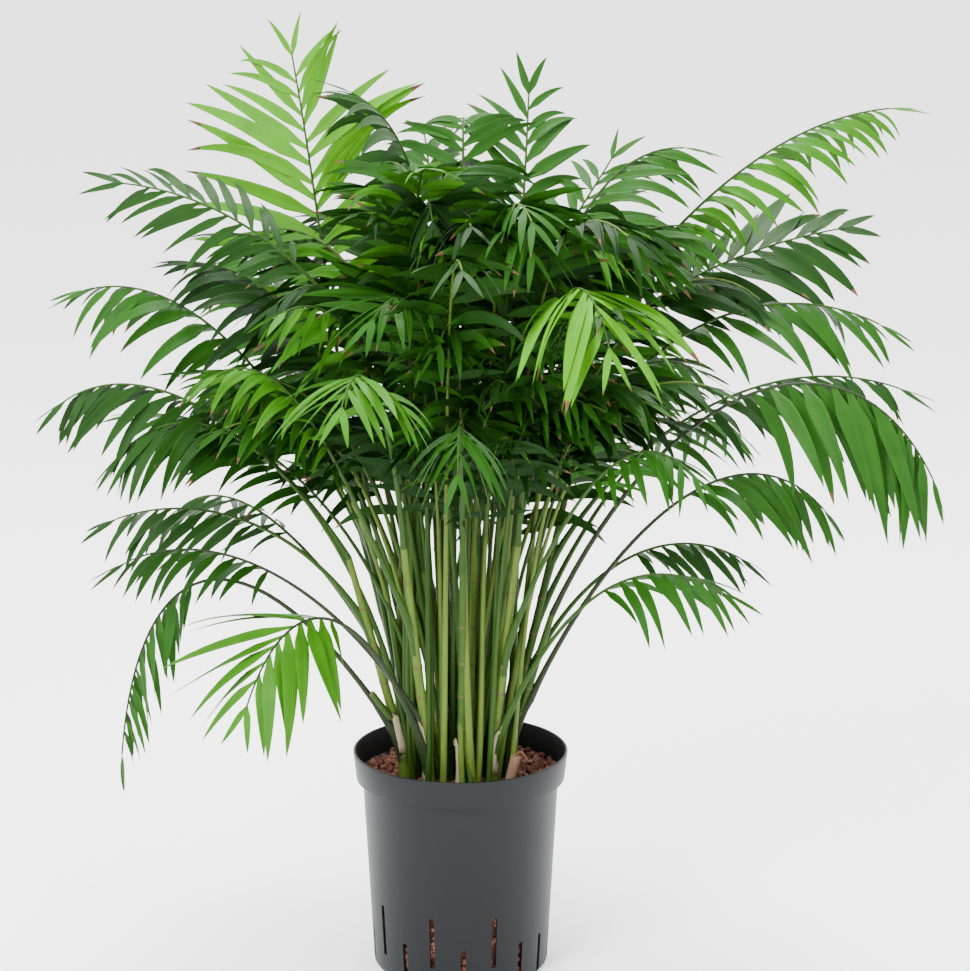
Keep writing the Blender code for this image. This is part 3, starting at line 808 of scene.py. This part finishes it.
def make_cane(cane):
    rng = random.Random(cane.name)
    rings = ring_heights(cane, rng)
    points, radii = [], []
    for height in cane_heights(cane, rings):
        near = min([abs(height - ring) for ring in rings] + [1.0])
        swell = 1.0 + RING_SWELL * math.exp(-(near / RING_HALF_HEIGHT) ** 2)
        points.append(cane_axis(cane, height))
        radii.append(cane_radius(cane, height) * swell * CANE_SLIM)
    vertices, faces = tube(points, radii, CANE_SIDES)
    builder = Builder("stem_" + cane.name)
    skin = PALE_CANE if cane.name in PALE_CANES else GREEN_CANE
    scarred, plain_faces = [], []
    for face in faces:
        height = sum(vertices[corner].z for corner in face) / len(face)
        on_ring = any(abs(height - ring) < SCAR_HALF_HEIGHT for ring in rings)
        (scarred if on_ring else plain_faces).append(face)
    builder.add(vertices, plain_faces, skin)
    builder.add(vertices, scarred, CANE_RING)
    builder.build(["cane_" + cane.name])
    return len(rings)


print("canes:", len(CANES), "rings:", sum(make_cane(cane) for cane in CANES))

# %% [markdown]
# A frond is a bare petiole that becomes a rib with leaflets on both sides. The rows of this table
# are those of the solid model, so each frond lies on its solid. Each gives the frond's cane and the
# height of its foot, TOP for the cane's end; its slope there; its tip's azimuth, reach and height,
# and its slope there; how strongly it arches; the petiole's share of its length; its leaflets'
# length; and how far they fold down and the blade rolls to one side. Angles are in degrees.

# %% Frond table
Frond = namedtuple("Frond", "name cane foot rise azimuth reach height end arch bare width fold roll")
TOP = None
FRONDS = (
    Frond("top_left", "left_back", TOP, 76, 145, 0.178, 0.793, 72, 1.0, 0.32, 0.125, 12, -45),
    Frond("left_high", "inner_left", TOP, 68, 181, 0.300, 0.668, -3, 1.0, 0.42, 0.070, 25, -45),
    Frond("left_broad", "left_back", 0.36, 64, 173, 0.338, 0.560, -30, 1.0, 0.42, 0.080, 45, -10),
    Frond("left_mid", "left", TOP, 60, 188, 0.342, 0.478, -50, 1.0, 0.36, 0.075, 50, -10),
    Frond("left_low", "left", 0.310, 57, 177, 0.305, 0.374, -30, 1.0, 0.42, 0.060, 45, -10),
    Frond("left_low_front", "front_left", 0.230, 60, 196, 0.300, 0.360, -35, 1.0, 0.50, 0.055, 45, 0),
    Frond("left_weeping", "left", 0.215, 58, 191, 0.286, 0.155, -89, 1.85, 0.50, 0.050, 55, 0),
    Frond("left_fan", "front_left", 0.205, 66, 229, 0.264, 0.255, -72, 1.45, 0.45, 0.085, 20, -15),
    Frond("right_arch", "right", 0.235, 66, 353, 0.316, 0.380, -60, 1.15, 0.50, 0.075, 62, 0),
    Frond("right_low_back", "right_back", 0.250, 65, 5, 0.250, 0.337, -38, 1.1, 0.50, 0.050, 45, 10),
    Frond("right_low_front", "front_right", 0.215, 68, 333, 0.258, 0.342, -35, 1.15, 0.48, 0.060, 40, 10),
    Frond("right_high", "right_back", TOP, 67, 8, 0.380, 0.522, -38, 1.05, 0.38, 0.085, 35, 10),
    Frond("right_weeping", "right", TOP, 66, 346, 0.405, 0.400, -74, 1.3, 0.45, 0.120, 68, 0),
    Frond("right_mid", "right_back", 0.35, 60, 358, 0.390, 0.485, -30, 1.0, 0.38, 0.070, 50, 10),
    Frond("right_broad", "back_right", TOP, 62, 20, 0.375, 0.612, 5, 1.0, 0.40, 0.095, 15, 35),
    Frond("top_right", "inner_right", 0.44, 58, 15, 0.410, 0.712, -8, 1.0, 0.40, 0.070, 55, 0),
    Frond("top_right_inner", "inner_front", 0.40, 74, 10, 0.210, 0.685, -20, 1.0, 0.50, 0.075, 45, 0),
    Frond("top_centre", "inner_right", TOP, 80, 68, 0.155, 0.745, 78, 1.0, 0.36, 0.075, 15, 20),
    Frond("top_centre_right", "inner_front", TOP, 80, 38, 0.175, 0.690, 45, 1.0, 0.45, 0.075, 20, 15),
    Frond("top_inner", "inner_back", TOP, 84, 176, 0.105, 0.745, 15, 1.0, 0.50, 0.075, 35, 0),
    Frond("top_front", "inner_left", 0.38, 84, 255, 0.095, 0.690, -5, 1.0, 0.55, 0.075, 25, 0),
    Frond("front_right", "front_right", TOP, 82, 297, 0.265, 0.543, -68, 1.35, 0.45, 0.105, 35, 0),
    Frond("front_left", "front_left", TOP, 74, 252, 0.290, 0.520, -55, 1.0, 0.42, 0.090, 35, 0),
    Frond("left_bright", "front_left", 0.32, 66, 210, 0.240, 0.520, -42, 1.0, 0.42, 0.070, 40, 0),
    Frond("front_low", "front", TOP, 76, 270, 0.255, 0.462, -70, 1.08, 0.42, 0.075, 50, 0),
    Frond("front_high", "inner_left", 0.32, 80, 226, 0.215, 0.580, -25, 1.0, 0.50, 0.070, 65, 0),
    Frond("left_high_back", "inner_back", 0.42, 76, 162, 0.230, 0.610, -15, 1.0, 0.45, 0.075, 30, 0),
    Frond("front_right_low", "front_right", 0.30, 66, 316, 0.270, 0.450, -50, 1.1, 0.45, 0.070, 45, 0),
    Frond("back_right", "back_right", 0.35, 66, 58, 0.330, 0.580, -40, 1.0, 0.40, 0.085, 40, 0),
    Frond("back", "back", TOP, 64, 95, 0.340, 0.520, -50, 1.0, 0.38, 0.085, 45, 0),
    Frond("back_left", "left_back", 0.30, 62, 132, 0.330, 0.550, -35, 1.0, 0.45, 0.085, 40, 0),
    Frond("back_low", "back", 0.25, 56, 82, 0.290, 0.370, -60, 1.0, 0.45, 0.070, 45, 0),
    Frond("back_left_low", "left_back", 0.24, 54, 146, 0.310, 0.340, -50, 1.0, 0.45, 0.070, 45, 0),
    Frond("back_right_low", "right_back", 0.30, 56, 38, 0.320, 0.400, -55, 1.0, 0.45, 0.070, 45, 0),
    Frond("back_high", "inner_back", 0.36, 80, 100, 0.200, 0.690, 10, 1.0, 0.45, 0.080, 30, 0),
)
print("outer fronds:", len(FRONDS))

# %% [markdown]
# The middle line leaves the cane at a steep slope, bends over and arrives at the tip at another
# slope. A hand-drawn curve for each frond would be as good, but one cubic curve that is pulled by
# its two end slopes serves all of them, and a row of the table is all that differs.

# %% Frond paths
PETIOLE_RADIUS = 0.0024
LEAN_TO_START = 1.15
LEAN_TO_END = 0.90
SMALLEST_TURN = 0.2        # radians
FOOT_IN_CANE = 0.4         # this share of the petiole's radius stands off the cane
SMALL_STEP = 0.01


def frond_foot(frond, cane):
    middle = cane_axis(cane, cane.top if frond.foot is TOP else frond.foot)
    if frond.foot is TOP:
        return middle
    tip = around(frond.azimuth) * frond.reach
    out = Vector((tip.x - middle.x, tip.y - middle.y, 0.0)).normalized()
    return middle + out * (cane_radius(cane, frond.foot) * CANE_SLIM + PETIOLE_RADIUS * FOOT_IN_CANE)


def frond_spine(frond, foot, share):
    """A frond's middle line: from its foot at share 0, bending over to its tip at 1."""
    tip = around(frond.azimuth) * frond.reach + Vector((0.0, 0.0, frond.height))
    out = Vector((tip.x - foot.x, tip.y - foot.y, 0.0))
    run, climb = out.length, tip.z - foot.z
    out.normalize()
    turn = max(SMALLEST_TURN, math.radians(frond.rise - frond.end))
    pull = frond.arch * math.hypot(run, climb) * 2.0 * math.tan(turn / 4) / math.sin(turn / 2)
    rise, end = math.radians(frond.rise), math.radians(frond.end)
    start_pull = pull * LEAN_TO_START * (share - 2 * share ** 2 + share ** 3)
    end_pull = pull * LEAN_TO_END * (share ** 3 - share ** 2)
    arrive = 3 * share ** 2 - 2 * share ** 3
    along = run * arrive + math.cos(rise) * start_pull + math.cos(end) * end_pull
    up = climb * arrive + math.sin(rise) * start_pull + math.sin(end) * end_pull
    return foot + out * along + UP * up


def frond_frame(frond, foot, share):
    """The directions along the rib, to its side and out of its upper face."""
    ends = frond_spine(frond, foot, 1.0) - foot
    ahead = frond_spine(frond, foot, min(1.0, share + SMALL_STEP))
    along = (ahead - frond_spine(frond, foot, share - SMALL_STEP)).normalized()
    side = ends.cross(UP).normalized()
    side = Matrix.Rotation(math.radians(frond.roll), 3, along) @ side
    return along, side, side.cross(along).normalized()


first_foot = frond_foot(FRONDS[0], CANE_BY_NAME[FRONDS[0].cane])
print("the first frond's tip is at", tuple(round(c, 3) for c in frond_spine(FRONDS[0], first_foot, 1.0)))

# %% [markdown]
# A leaflet is a narrow pointed blade, creased along its middle, with a shallow pleat on each side.
# It sweeps towards the frond's tip and droops under its own weight. Each one is a sheet of five
# points across and ten along. Geometry Nodes could repeat one leaflet, but each one bends, twists
# and narrows by its own place on the frond, so a function draws each in turn.

# %% Leaflet
LEAFLET_ROWS = 9
PLEATS = ((-1.0, 0.10), (-0.52, 0.16), (0.0, -0.10), (0.52, 0.16), (1.0, 0.10))
WIDEST_FROM = 0.28         # share of the length at which a leaflet reaches its full width
WIDTH_AT_FOOT = 0.24
POINT_START = 2.3          # the greater, the later a leaflet narrows to its point
POINT_SHAPE = 0.9
TWIST = 0.9                # radians, over the whole length, to either side
BOW = 0.35
DROOP_RANGE = (0.6, 1.7)
DROOP_ONSET = 1.4          # the greater, the nearer to its tip a leaflet bends
WITHERED_SHARE = 0.22      # of the leaflets have a brown tip


def leaflet_half_width(share):
    swell = min(1.0, share / WIDEST_FROM)
    opening = WIDTH_AT_FOOT + (1.0 - WIDTH_AT_FOOT) * swell * swell * (3.0 - 2.0 * swell)
    return opening * max(0.0, 1.0 - share ** POINT_START) ** POINT_SHAPE


def add_leaflet(builder, base, directions, hand, length, breadth, sweep, fold, droop, finish, rng):
    """A leaflet on one side of the rib: hand is -1 or 1, and the angles are in degrees."""
    along, side, up = directions
    fold, sweep = math.radians(fold), math.radians(sweep)
    across = side * hand * math.cos(fold) - up * math.sin(fold)
    heading = along * math.cos(sweep) + across * math.sin(sweep)
    normal = up * math.cos(fold) + side * hand * math.sin(fold)
    twist = rng.uniform(-TWIST, TWIST)
    bow = rng.uniform(-BOW, BOW)
    droop *= rng.uniform(*DROOP_RANGE)
    place = base.copy()
    vertices, uvs = [], []
    for row in range(LEAFLET_ROWS + 1):
        share = row / LEAFLET_ROWS
        way = (heading + DOWN * droop * share ** DROOP_ONSET + along * bow * share).normalized()
        wide = way.cross(normal)
        wide = Matrix.Rotation(twist * share, 3, way) @ wide.normalized()
        face_up = wide.cross(way)
        half = length * breadth / 2 * leaflet_half_width(share)
        for offset, lift in PLEATS:
            vertices.append(place + wide * half * offset + face_up * half * lift)
            uvs.append((0.5 + offset / 2, share))
        place = place + way * (length / LEAFLET_ROWS)
    points = len(PLEATS)
    faces = []
    for row in range(LEAFLET_ROWS):
        for column in range(points - 1):
            a = row * points + column
            faces.append((a, a + 1, a + 1 + points, a + points))
    withered = points - 1 if rng.random() < WITHERED_SHARE else 0
    cut = len(faces) - withered
    builder.add(vertices, faces[:cut], finish, uvs)
    if withered:
        builder.add(vertices, faces[cut:], TIP_BROWN, uvs)


print("a leaflet's width at its middle, over its widest:", round(leaflet_half_width(0.5), 3))

# %% [markdown]
# The leaflets stand in loose pairs along the rib, spread wide at its foot and less towards its tip,
# and one more pair ends it. Even spacing looks like a comb, so every place, angle, length and fold
# is varied a little, by random numbers that each outer frond starts anew from its own name.

# %% Leaflets of a frond
RIB_END = 0.84             # the rib stops here, and the end leaflets reach the tip
LEAFLET_SPACING = 0.0150
FEWEST_PAIRS = 8
LEAFLET_BREADTH = 0.140    # a leaflet's width over its length
BROAD = {"right_broad": 0.20, "left_broad": 0.16, "top_centre": 0.16, "top_inner": 0.16,
         "top_left": 0.12}
LENGTH_OVER_TABLE = 1.02   # a leaflet's length over the frond table's width
LONGER = {"left_fan": 1.28, "left_weeping": 1.35, "left_low": 1.2, "left_low_front": 1.25,
          "front_right": 1.12, "right_low_front": 1.25, "right_low_back": 1.2,
          "right_arch": 1.15, "left_mid": 1.1}
SHORTER_AT_TIP = 0.18
MUCH_SHORTER_AT_TIP = {"top_left": 0.50}
SHORTEST = 0.66            # the first leaflets' length over the longest ones'
LONGEST_PLACE = 0.75       # below 1, the longest leaflets are nearer to the frond's foot
LENGTH_UNEVEN = (0.86, 1.10)
PAIR_STAGGER = 0.22        # of the spacing, between a pair's two leaflets and its middle
PAIR_UNEVEN = 0.15
LAST_PAIR = 0.03           # the last pair is this far before the rib's end
SWEEP_FIRST = 62.0         # degrees between the first leaflets and the rib
SWEEP_LAST = 32.0
SWEEP_END = 19.0
SWEEP_UNEVEN = 11.0
FOLD_UNEVEN = (0.45, 1.15)
LEAST_DROOP = 0.10
DROOP_FOLD = 52.0          # degrees of fold that add a droop of 1
END_BREADTH = 1.2          # the end pair is this much broader
END_LENGTH = 0.76          # the end pair's length over what is left of the frond
END_SHORTEST = 0.050
END_FOLD = 0.4
END_DROOP = 0.15
MEASURE_STEPS = 12


def blade_length(frond, foot):
    step = (1.0 - frond.bare) / MEASURE_STEPS
    points = [frond_spine(frond, foot, frond.bare + step * i) for i in range(MEASURE_STEPS + 1)]
    return sum((b - a).length for a, b in zip(points, points[1:]))


def leaflet_length(frond, place, rng):
    """A leaflet's length by its place between the first pair, 0, and the last, 1."""
    swell = SHORTEST + (1.0 - SHORTEST) * math.sin(math.pi * place ** LONGEST_PLACE)
    reach = frond.width * LONGER.get(frond.name, LENGTH_OVER_TABLE) * swell
    shorter = MUCH_SHORTER_AT_TIP.get(frond.name, SHORTER_AT_TIP)
    return reach * (rng.uniform(*LENGTH_UNEVEN) * (1.0 - shorter * place ** 3))


def add_leaflets(builder, frond, foot, finish, rng):
    """Leaflets along both sides of the rib, and a broader pair at its end."""
    pairs = max(FEWEST_PAIRS, round(blade_length(frond, foot) * RIB_END / LEAFLET_SPACING))
    breadth = BROAD.get(frond.name, LEAFLET_BREADTH)
    droop = LEAST_DROOP + frond.fold / DROOP_FOLD
    for pair in range(pairs):
        for hand in (-1, 1):
            place = (pair + hand * PAIR_STAGGER + rng.uniform(-PAIR_UNEVEN, PAIR_UNEVEN)) / pairs
            place = min(1.0, max(0.0, place))
            share = frond.bare + (1.0 - frond.bare) * place * (RIB_END - LAST_PAIR)
            base = frond_spine(frond, foot, share)
            directions = frond_frame(frond, foot, share)
            sweep = SWEEP_FIRST + (SWEEP_LAST - SWEEP_FIRST) * place
            sweep += rng.uniform(-SWEEP_UNEVEN, SWEEP_UNEVEN)
            length = leaflet_length(frond, place, rng)
            fold = frond.fold * rng.uniform(*FOLD_UNEVEN)
            add_leaflet(builder, base, directions, hand, length, breadth, sweep, fold, droop, finish, rng)
    share = frond.bare + (1.0 - frond.bare) * RIB_END
    base = frond_spine(frond, foot, share)
    length = END_LENGTH * max(END_SHORTEST, (frond_spine(frond, foot, 1.0) - base).length)
    directions = frond_frame(frond, foot, share)
    for hand in (-1, 1):
        add_leaflet(builder, base, directions, hand, length, breadth * END_BREADTH, SWEEP_END,
                    frond.fold * END_FOLD, END_DROOP, finish, rng)


print("the first frond's blade is", round(blade_length(FRONDS[0], first_foot), 3), "m long")

# %% [markdown]
# A petiole doesn't end in a cut on its cane: its foot is a sheath that wraps the cane and narrows
# upwards into the stalk. The same tube makes both. It starts inside the cane, below the frond's
# foot, as wide as the sheath, and thins with the way that it has gone.

# %% Sheath and rib
RACHIS_RADIUS = 0.0013
TIP_RADIUS = 0.0006
RIB_STEPS = 30
RIB_SIDES = 8
SHEATH_LENGTH = 0.034      # how far a petiole's sheath reaches down its cane
SHEATH_FADE = 0.016        # how fast the sheath narrows to the petiole
SHEATH_OVER_CANE = 1.10
SHEATH_STEPS = ((1.0, 0.10), (0.6, 0.25), (0.25, 0.6))   # way down the cane, way out of its middle


def sheath_points(frond, cane, foot):
    """Points up the cane, under a petiole's foot, and the radius of the sheath round them."""
    if cane is None:
        return [], PETIOLE_RADIUS
    if frond.foot is TOP:
        return [], cane_radius(cane, cane.top) * CANE_SLIM * SHEATH_OVER_CANE
    radius = cane_radius(cane, frond.foot) * CANE_SLIM
    out = (foot - cane_axis(cane, frond.foot)).normalized()
    points = []
    for below, share in SHEATH_STEPS:
        points.append(cane_axis(cane, frond.foot - SHEATH_LENGTH * below) + out * radius * share)
    return points, radius * SHEATH_OVER_CANE


def rib_radius(frond, share, thickness):
    """The petiole's radius, which thins to the rib's, which thins to the tip's."""
    if share < frond.bare:
        petiole = PETIOLE_RADIUS * thickness
        return petiole + (RACHIS_RADIUS - petiole) * share / frond.bare
    blade = (share - frond.bare) / (1.0 - frond.bare)
    return RACHIS_RADIUS + (TIP_RADIUS - RACHIS_RADIUS) * blade


def add_rib(builder, frond, foot, finish, thickness=1.0, cane=None):
    """A petiole that opens from a sheath round its cane, and the rib that it becomes."""
    points, wide = sheath_points(frond, cane, foot)
    radii = [wide for _ in points]
    walked, before = 0.0, foot
    for index in range(RIB_STEPS + 1):
        share = (frond.bare + (1.0 - frond.bare) * RIB_END) * index / RIB_STEPS
        point = frond_spine(frond, foot, share)
        walked += (point - before).length
        before = point
        radius = rib_radius(frond, share, thickness)
        points.append(point)
        radii.append(radius + max(0.0, wide - radius) * math.exp(-walked / SHEATH_FADE))
    vertices, faces = tube(points, radii, RIB_SIDES)
    builder.add(vertices, faces, finish)


print("a petiole and its rib have", RIB_STEPS * RIB_SIDES, "faces round them")

# %% [markdown]
# A few young fronds at the top, in front and at the sides are yellow-green, most outer ones are
# full green, and those that others shade are much darker. The yellow-green is partly painted light
# where the lamps fall, and the darker greens are painted shade. Colour could change along each
# leaf, but in a photograph of the whole plant only one green shows on each frond, so each frond
# gets one. Its leaflets stand for the thin solid blade that holds its place.

# %% Fronds
# Painted light and shade: a frond gets a paler green where light falls on it and a darker one where other
# fronds shade it.
FROND_GREENS_AND_PAINTED_SHADE = {
    "top_left": "new", "front_right": "new", "left_bright": "light", "front_left": "light",
    "top_centre": "full", "top_right": "light", "right_weeping": "full", "right_broad": "deep",
    "top_inner": "deep", "left_low": "deep", "left_low_front": "deep", "left_mid": "deep",
    "left_broad": "full", "left_high": "deep", "right_high": "full", "right_mid": "deep",
    "right_low_back": "deep", "back_left_low": "deep", "back_low": "deep", "front_high": "light",
    "top_front": "light", "left_weeping": "full", "left_fan": "light", "front_low": "full",
}
DARK_STALKS = ("left_weeping", "left_fan", "right_arch", "right_weeping", "left_low_front")
LEAFLET_SMOOTH = 75.0      # degrees


def frond_nodes(name):
    node = "frond_" + name
    return [wanted for wanted in (node, node + "_rise", node + "_fall") if wanted in NODES]


def make_frond(frond):
    rng = random.Random(frond.name)
    cane = CANE_BY_NAME[frond.cane]
    foot = frond_foot(frond, cane)
    leaves = Builder("leaflets_" + frond.name)
    add_leaflets(leaves, frond, foot, LEAVES[FROND_GREENS_AND_PAINTED_SHADE.get(frond.name, "full")], rng)
    leaves.build(frond_nodes(frond.name), LEAFLET_SMOOTH)
    rib = Builder("rib_" + frond.name)
    skin = DARK_STALK if frond.name in DARK_STALKS else STALK
    add_rib(rib, frond, foot, skin, cane=cane)
    rib.build()
    return len(leaves.faces)


print("leaflet faces of the outer fronds:", sum(make_frond(frond) for frond in FRONDS))

# %% [markdown]
# Between the fronds that have a solid of their own, the crown is filled by younger and shaded
# fronds that rise straight from the granules; many get the darker greens, which are painted shade.
# Five foliage masses hold their room in the solid model, and a spray of fronds replaces each. A
# sixth spray, of fronds painted dark for the shade deep inside the crown, closes the crown's
# middle. Placing them one by one isn't worth it where they hide each other, so each spray is drawn
# from ranges, with a fixed seed. Their stalks make the dense bundle in the middle of the pot.

# %% Inner fronds
Spray = namedtuple("Spray", "name azimuth reach height count seed")
SPRAYS = (
    Spray("front", 265, 0.140, 0.550, 15, 3),
    Spray("right", 345, 0.215, 0.550, 17, 5),
    Spray("back", 80, 0.200, 0.520, 14, 7),
    Spray("left", 168, 0.225, 0.520, 18, 11),
    Spray("top", 30, 0.095, 0.618, 14, 13),
    Spray("middle", 260, 0.120, 0.490, 18, 17),
)
SPREAD = 48.0              # degrees to either side
WIDE_SPREAD = {"top": 180.0, "middle": 180.0}
# Painted shade: the middle spray gets only the two darkest greens, and the other sprays mix the darker
# greens in, for the shade inside the crown.
MIDDLE_PAINTED_SHADE = ("old", "deep")
SPRAY_GREENS_AND_PAINTED_SHADE = ("deep", "full", "old", "full", "deep", "full", "old", "light")
STALK_SKINS = (STALK, GREEN_CANE, PALE_CANE)
AZIMUTH_UNEVEN = 8.0
REACH_UNEVEN = (-0.06, 0.08)
HEIGHT_UNEVEN = (-0.095, 0.085)
INNER_END = (-62.0, -8.0)
INNER_WIDTH = (0.070, 0.095)
INNER_RISE = (79.0, 86.0)
INNER_FOLD = (25.0, 50.0)
INNER_BARE = 0.52
FOOT_TURN = 50.0           # degrees between a stalk's foot and its frond, at the most
FOOT_RING = (0.010, 0.052)
FOOT_DEPTH = 0.002
STALK_THICKNESS = (0.9, 1.5)


def inner_frond(spray, index, rng):
    spread = WIDE_SPREAD.get(spray.name, SPREAD)
    share = (index + 0.5) / spray.count * 2.0 - 1.0
    azimuth = spray.azimuth + spread * share + rng.uniform(-AZIMUTH_UNEVEN, AZIMUTH_UNEVEN)
    reach = spray.reach + rng.uniform(*REACH_UNEVEN)
    height = spray.height + rng.uniform(*HEIGHT_UNEVEN)
    end = rng.uniform(*INNER_END)
    width = rng.uniform(*INNER_WIDTH)
    rise = rng.uniform(*INNER_RISE)
    fold = rng.uniform(*INNER_FOLD)
    return Frond(spray.name, "", TOP, rise, azimuth, reach, height, end, 1.0, INNER_BARE, width, fold, 0)


def make_spray(spray):
    rng = random.Random(spray.seed)
    leaves = Builder("leaflets_inner_" + spray.name)
    stalks = Builder("stalks_inner_" + spray.name)
    shades = MIDDLE_PAINTED_SHADE if spray.name == "middle" else SPRAY_GREENS_AND_PAINTED_SHADE
    for index in range(spray.count):
        frond = inner_frond(spray, index, rng)
        turn = rng.uniform(-FOOT_TURN, FOOT_TURN)
        foot = around(frond.azimuth + turn) * rng.uniform(*FOOT_RING) + UP * (GRANULE_TOP - FOOT_DEPTH)
        add_leaflets(leaves, frond, foot, LEAVES[shades[index % len(shades)]], rng)
        skin = STALK_SKINS[index % len(STALK_SKINS)]
        add_rib(stalks, frond, foot, skin, rng.uniform(*STALK_THICKNESS))
    mass = "foliage_mass_" + spray.name
    leaves.build([mass] if mass in NODES else [], LEAFLET_SMOOTH)
    stalks.build()
    return len(leaves.faces)


print("inner fronds:", sum(s.count for s in SPRAYS), "faces:", sum(make_spray(s) for s in SPRAYS))

# %% [markdown]
# An old clump keeps papery remains of sheaths round a few canes. They are thin, with a ragged upper
# edge that stands a little off the cane. Cloth could fall into such shapes, but a strip that is
# bent round the cane's own path, with a random height along its last row, is enough at this size.

# %% Dry sheaths
DrySheath = namedtuple("DrySheath", "cane low high")
DRY_SHEATHS = (
    DrySheath("front_left", 0.172, 0.232),
    DrySheath("front", 0.169, 0.214),
    DrySheath("front_right", 0.178, 0.222),
    DrySheath("inner_front", 0.185, 0.240),
    DrySheath("left", 0.190, 0.226),
    DrySheath("inner_left", 0.215, 0.262),
)
DRY_SEED = 21
DRY_THICKNESS = 0.0005
DRY_COLUMNS = 7
DRY_ROWS = 6
DRY_TURN = (200.0, 320.0)
DRY_SPAN = (80.0, 150.0)   # degrees round the cane
DRY_RAGGED = (0.82, 1.0)
DRY_TAPER = 0.55
DRY_GAP = 0.0007
DRY_FLARE = 0.0022         # its upper edge stands this much further off the cane


def add_dry_sheath(builder, sheath, rng):
    """A ragged strip that wraps part of a cane and stands a little off it at its top."""
    cane = CANE_BY_NAME[sheath.cane]
    start, span = rng.uniform(*DRY_TURN), rng.uniform(*DRY_SPAN)
    vertices, faces = [], []
    for row in range(DRY_ROWS + 1):
        share = row / DRY_ROWS
        for column in range(DRY_COLUMNS + 1):
            ragged = rng.uniform(*DRY_RAGGED) if row == DRY_ROWS else 1.0
            height = sheath.low + (sheath.high - sheath.low) * share * ragged
            taper = 1.0 - DRY_TAPER * share ** 2
            turn = start + span * (column / DRY_COLUMNS - 0.5) * taper
            radius = cane_radius(cane, height) * CANE_SLIM + DRY_GAP + DRY_FLARE * share ** 3
            vertices.append(cane_axis(cane, height) + around(turn) * radius)
    for row in range(DRY_ROWS):
        for column in range(DRY_COLUMNS):
            a = row * (DRY_COLUMNS + 1) + column
            b = a + DRY_COLUMNS + 1
            faces.append((a, a + 1, b + 1, b))
    builder.add(vertices, faces, PAPER)


def make_dry_sheaths():
    rng = random.Random(DRY_SEED)
    builder = Builder("dry_sheaths")
    for sheath in DRY_SHEATHS:
        add_dry_sheath(builder, sheath, rng)
    obj = builder.build()
    thick = obj.modifiers.new("thickness", "SOLIDIFY")
    thick.thickness = DRY_THICKNESS
    return len(builder.faces)


print("dry sheaths:", len(DRY_SHEATHS), "faces:", make_dry_sheaths())

# %% [markdown]
# The photograph shows the stub of a dead cane with a withered thread at its end, and a short cut
# stub with a brown end at the side of the left cane. They are small, but they tell a grown plant
# from a new one. Each is a short tube through a few points.

# %% Dead stubs
DEAD_FOOT = Vector((0.040, -0.050, GRANULE_TOP - 0.003))
DEAD_WAY = ((0.0, 0.0, 0.0), (0.002, 0.0, 0.016), (0.006, 0.0, 0.034))
DEAD_RADII = (0.0052, 0.0044, 0.0040)
DEAD_SIDES = 12
THREAD_POINTS = 9
THREAD_STEP = (0.0022, -0.0006)
THREAD_WAVE = 0.0042
THREAD_TURN = 0.9          # radians of the wave from point to point
THREAD_RADIUS = 0.0011
THREAD_THINNING = 0.0001
THREAD_SIDES = 6
SIDE_HEIGHT = 0.222
SIDE_OFFSET = Vector((-0.002, -0.006, 0.0))
SIDE_WAY = ((0.0, 0.0, 0.0), (-0.008, -0.003, 0.012), (-0.015, -0.004, 0.022))
SIDE_RADII = (0.0030, 0.0028, 0.0026)
SIDE_SIDES = 10
CAP_RADII = (0.0027, 0.0020)
CAP_LENGTH = 0.12          # over the stub's last step


def thread_points(start):
    points = []
    for i in range(THREAD_POINTS):
        lift = THREAD_WAVE * math.sin(i * THREAD_TURN)
        points.append(start + Vector((THREAD_STEP[0] * i, THREAD_STEP[1] * i, lift)))
    return points


def make_stubs():
    builder = Builder("dead_stubs")
    dead = [DEAD_FOOT + Vector(way) for way in DEAD_WAY]
    builder.add(*tube(dead, DEAD_RADII, DEAD_SIDES), DEAD_CANE)
    thin = [THREAD_RADIUS - THREAD_THINNING * i for i in range(THREAD_POINTS)]
    builder.add(*tube(thread_points(dead[-1]), thin, THREAD_SIDES), TIP_BROWN)
    side = cane_axis(CANE_BY_NAME["left"], SIDE_HEIGHT) + SIDE_OFFSET
    short = [side + Vector(way) for way in SIDE_WAY]
    builder.add(*tube(short, SIDE_RADII, SIDE_SIDES), GREEN_CANE)
    cap = [short[2], short[2] + (short[2] - short[1]) * CAP_LENGTH]
    builder.add(*tube(cap, CAP_RADII, SIDE_SIDES), CANE_RING)
    builder.build()
    return len(builder.faces)


print("faces of the stubs:", make_stubs())
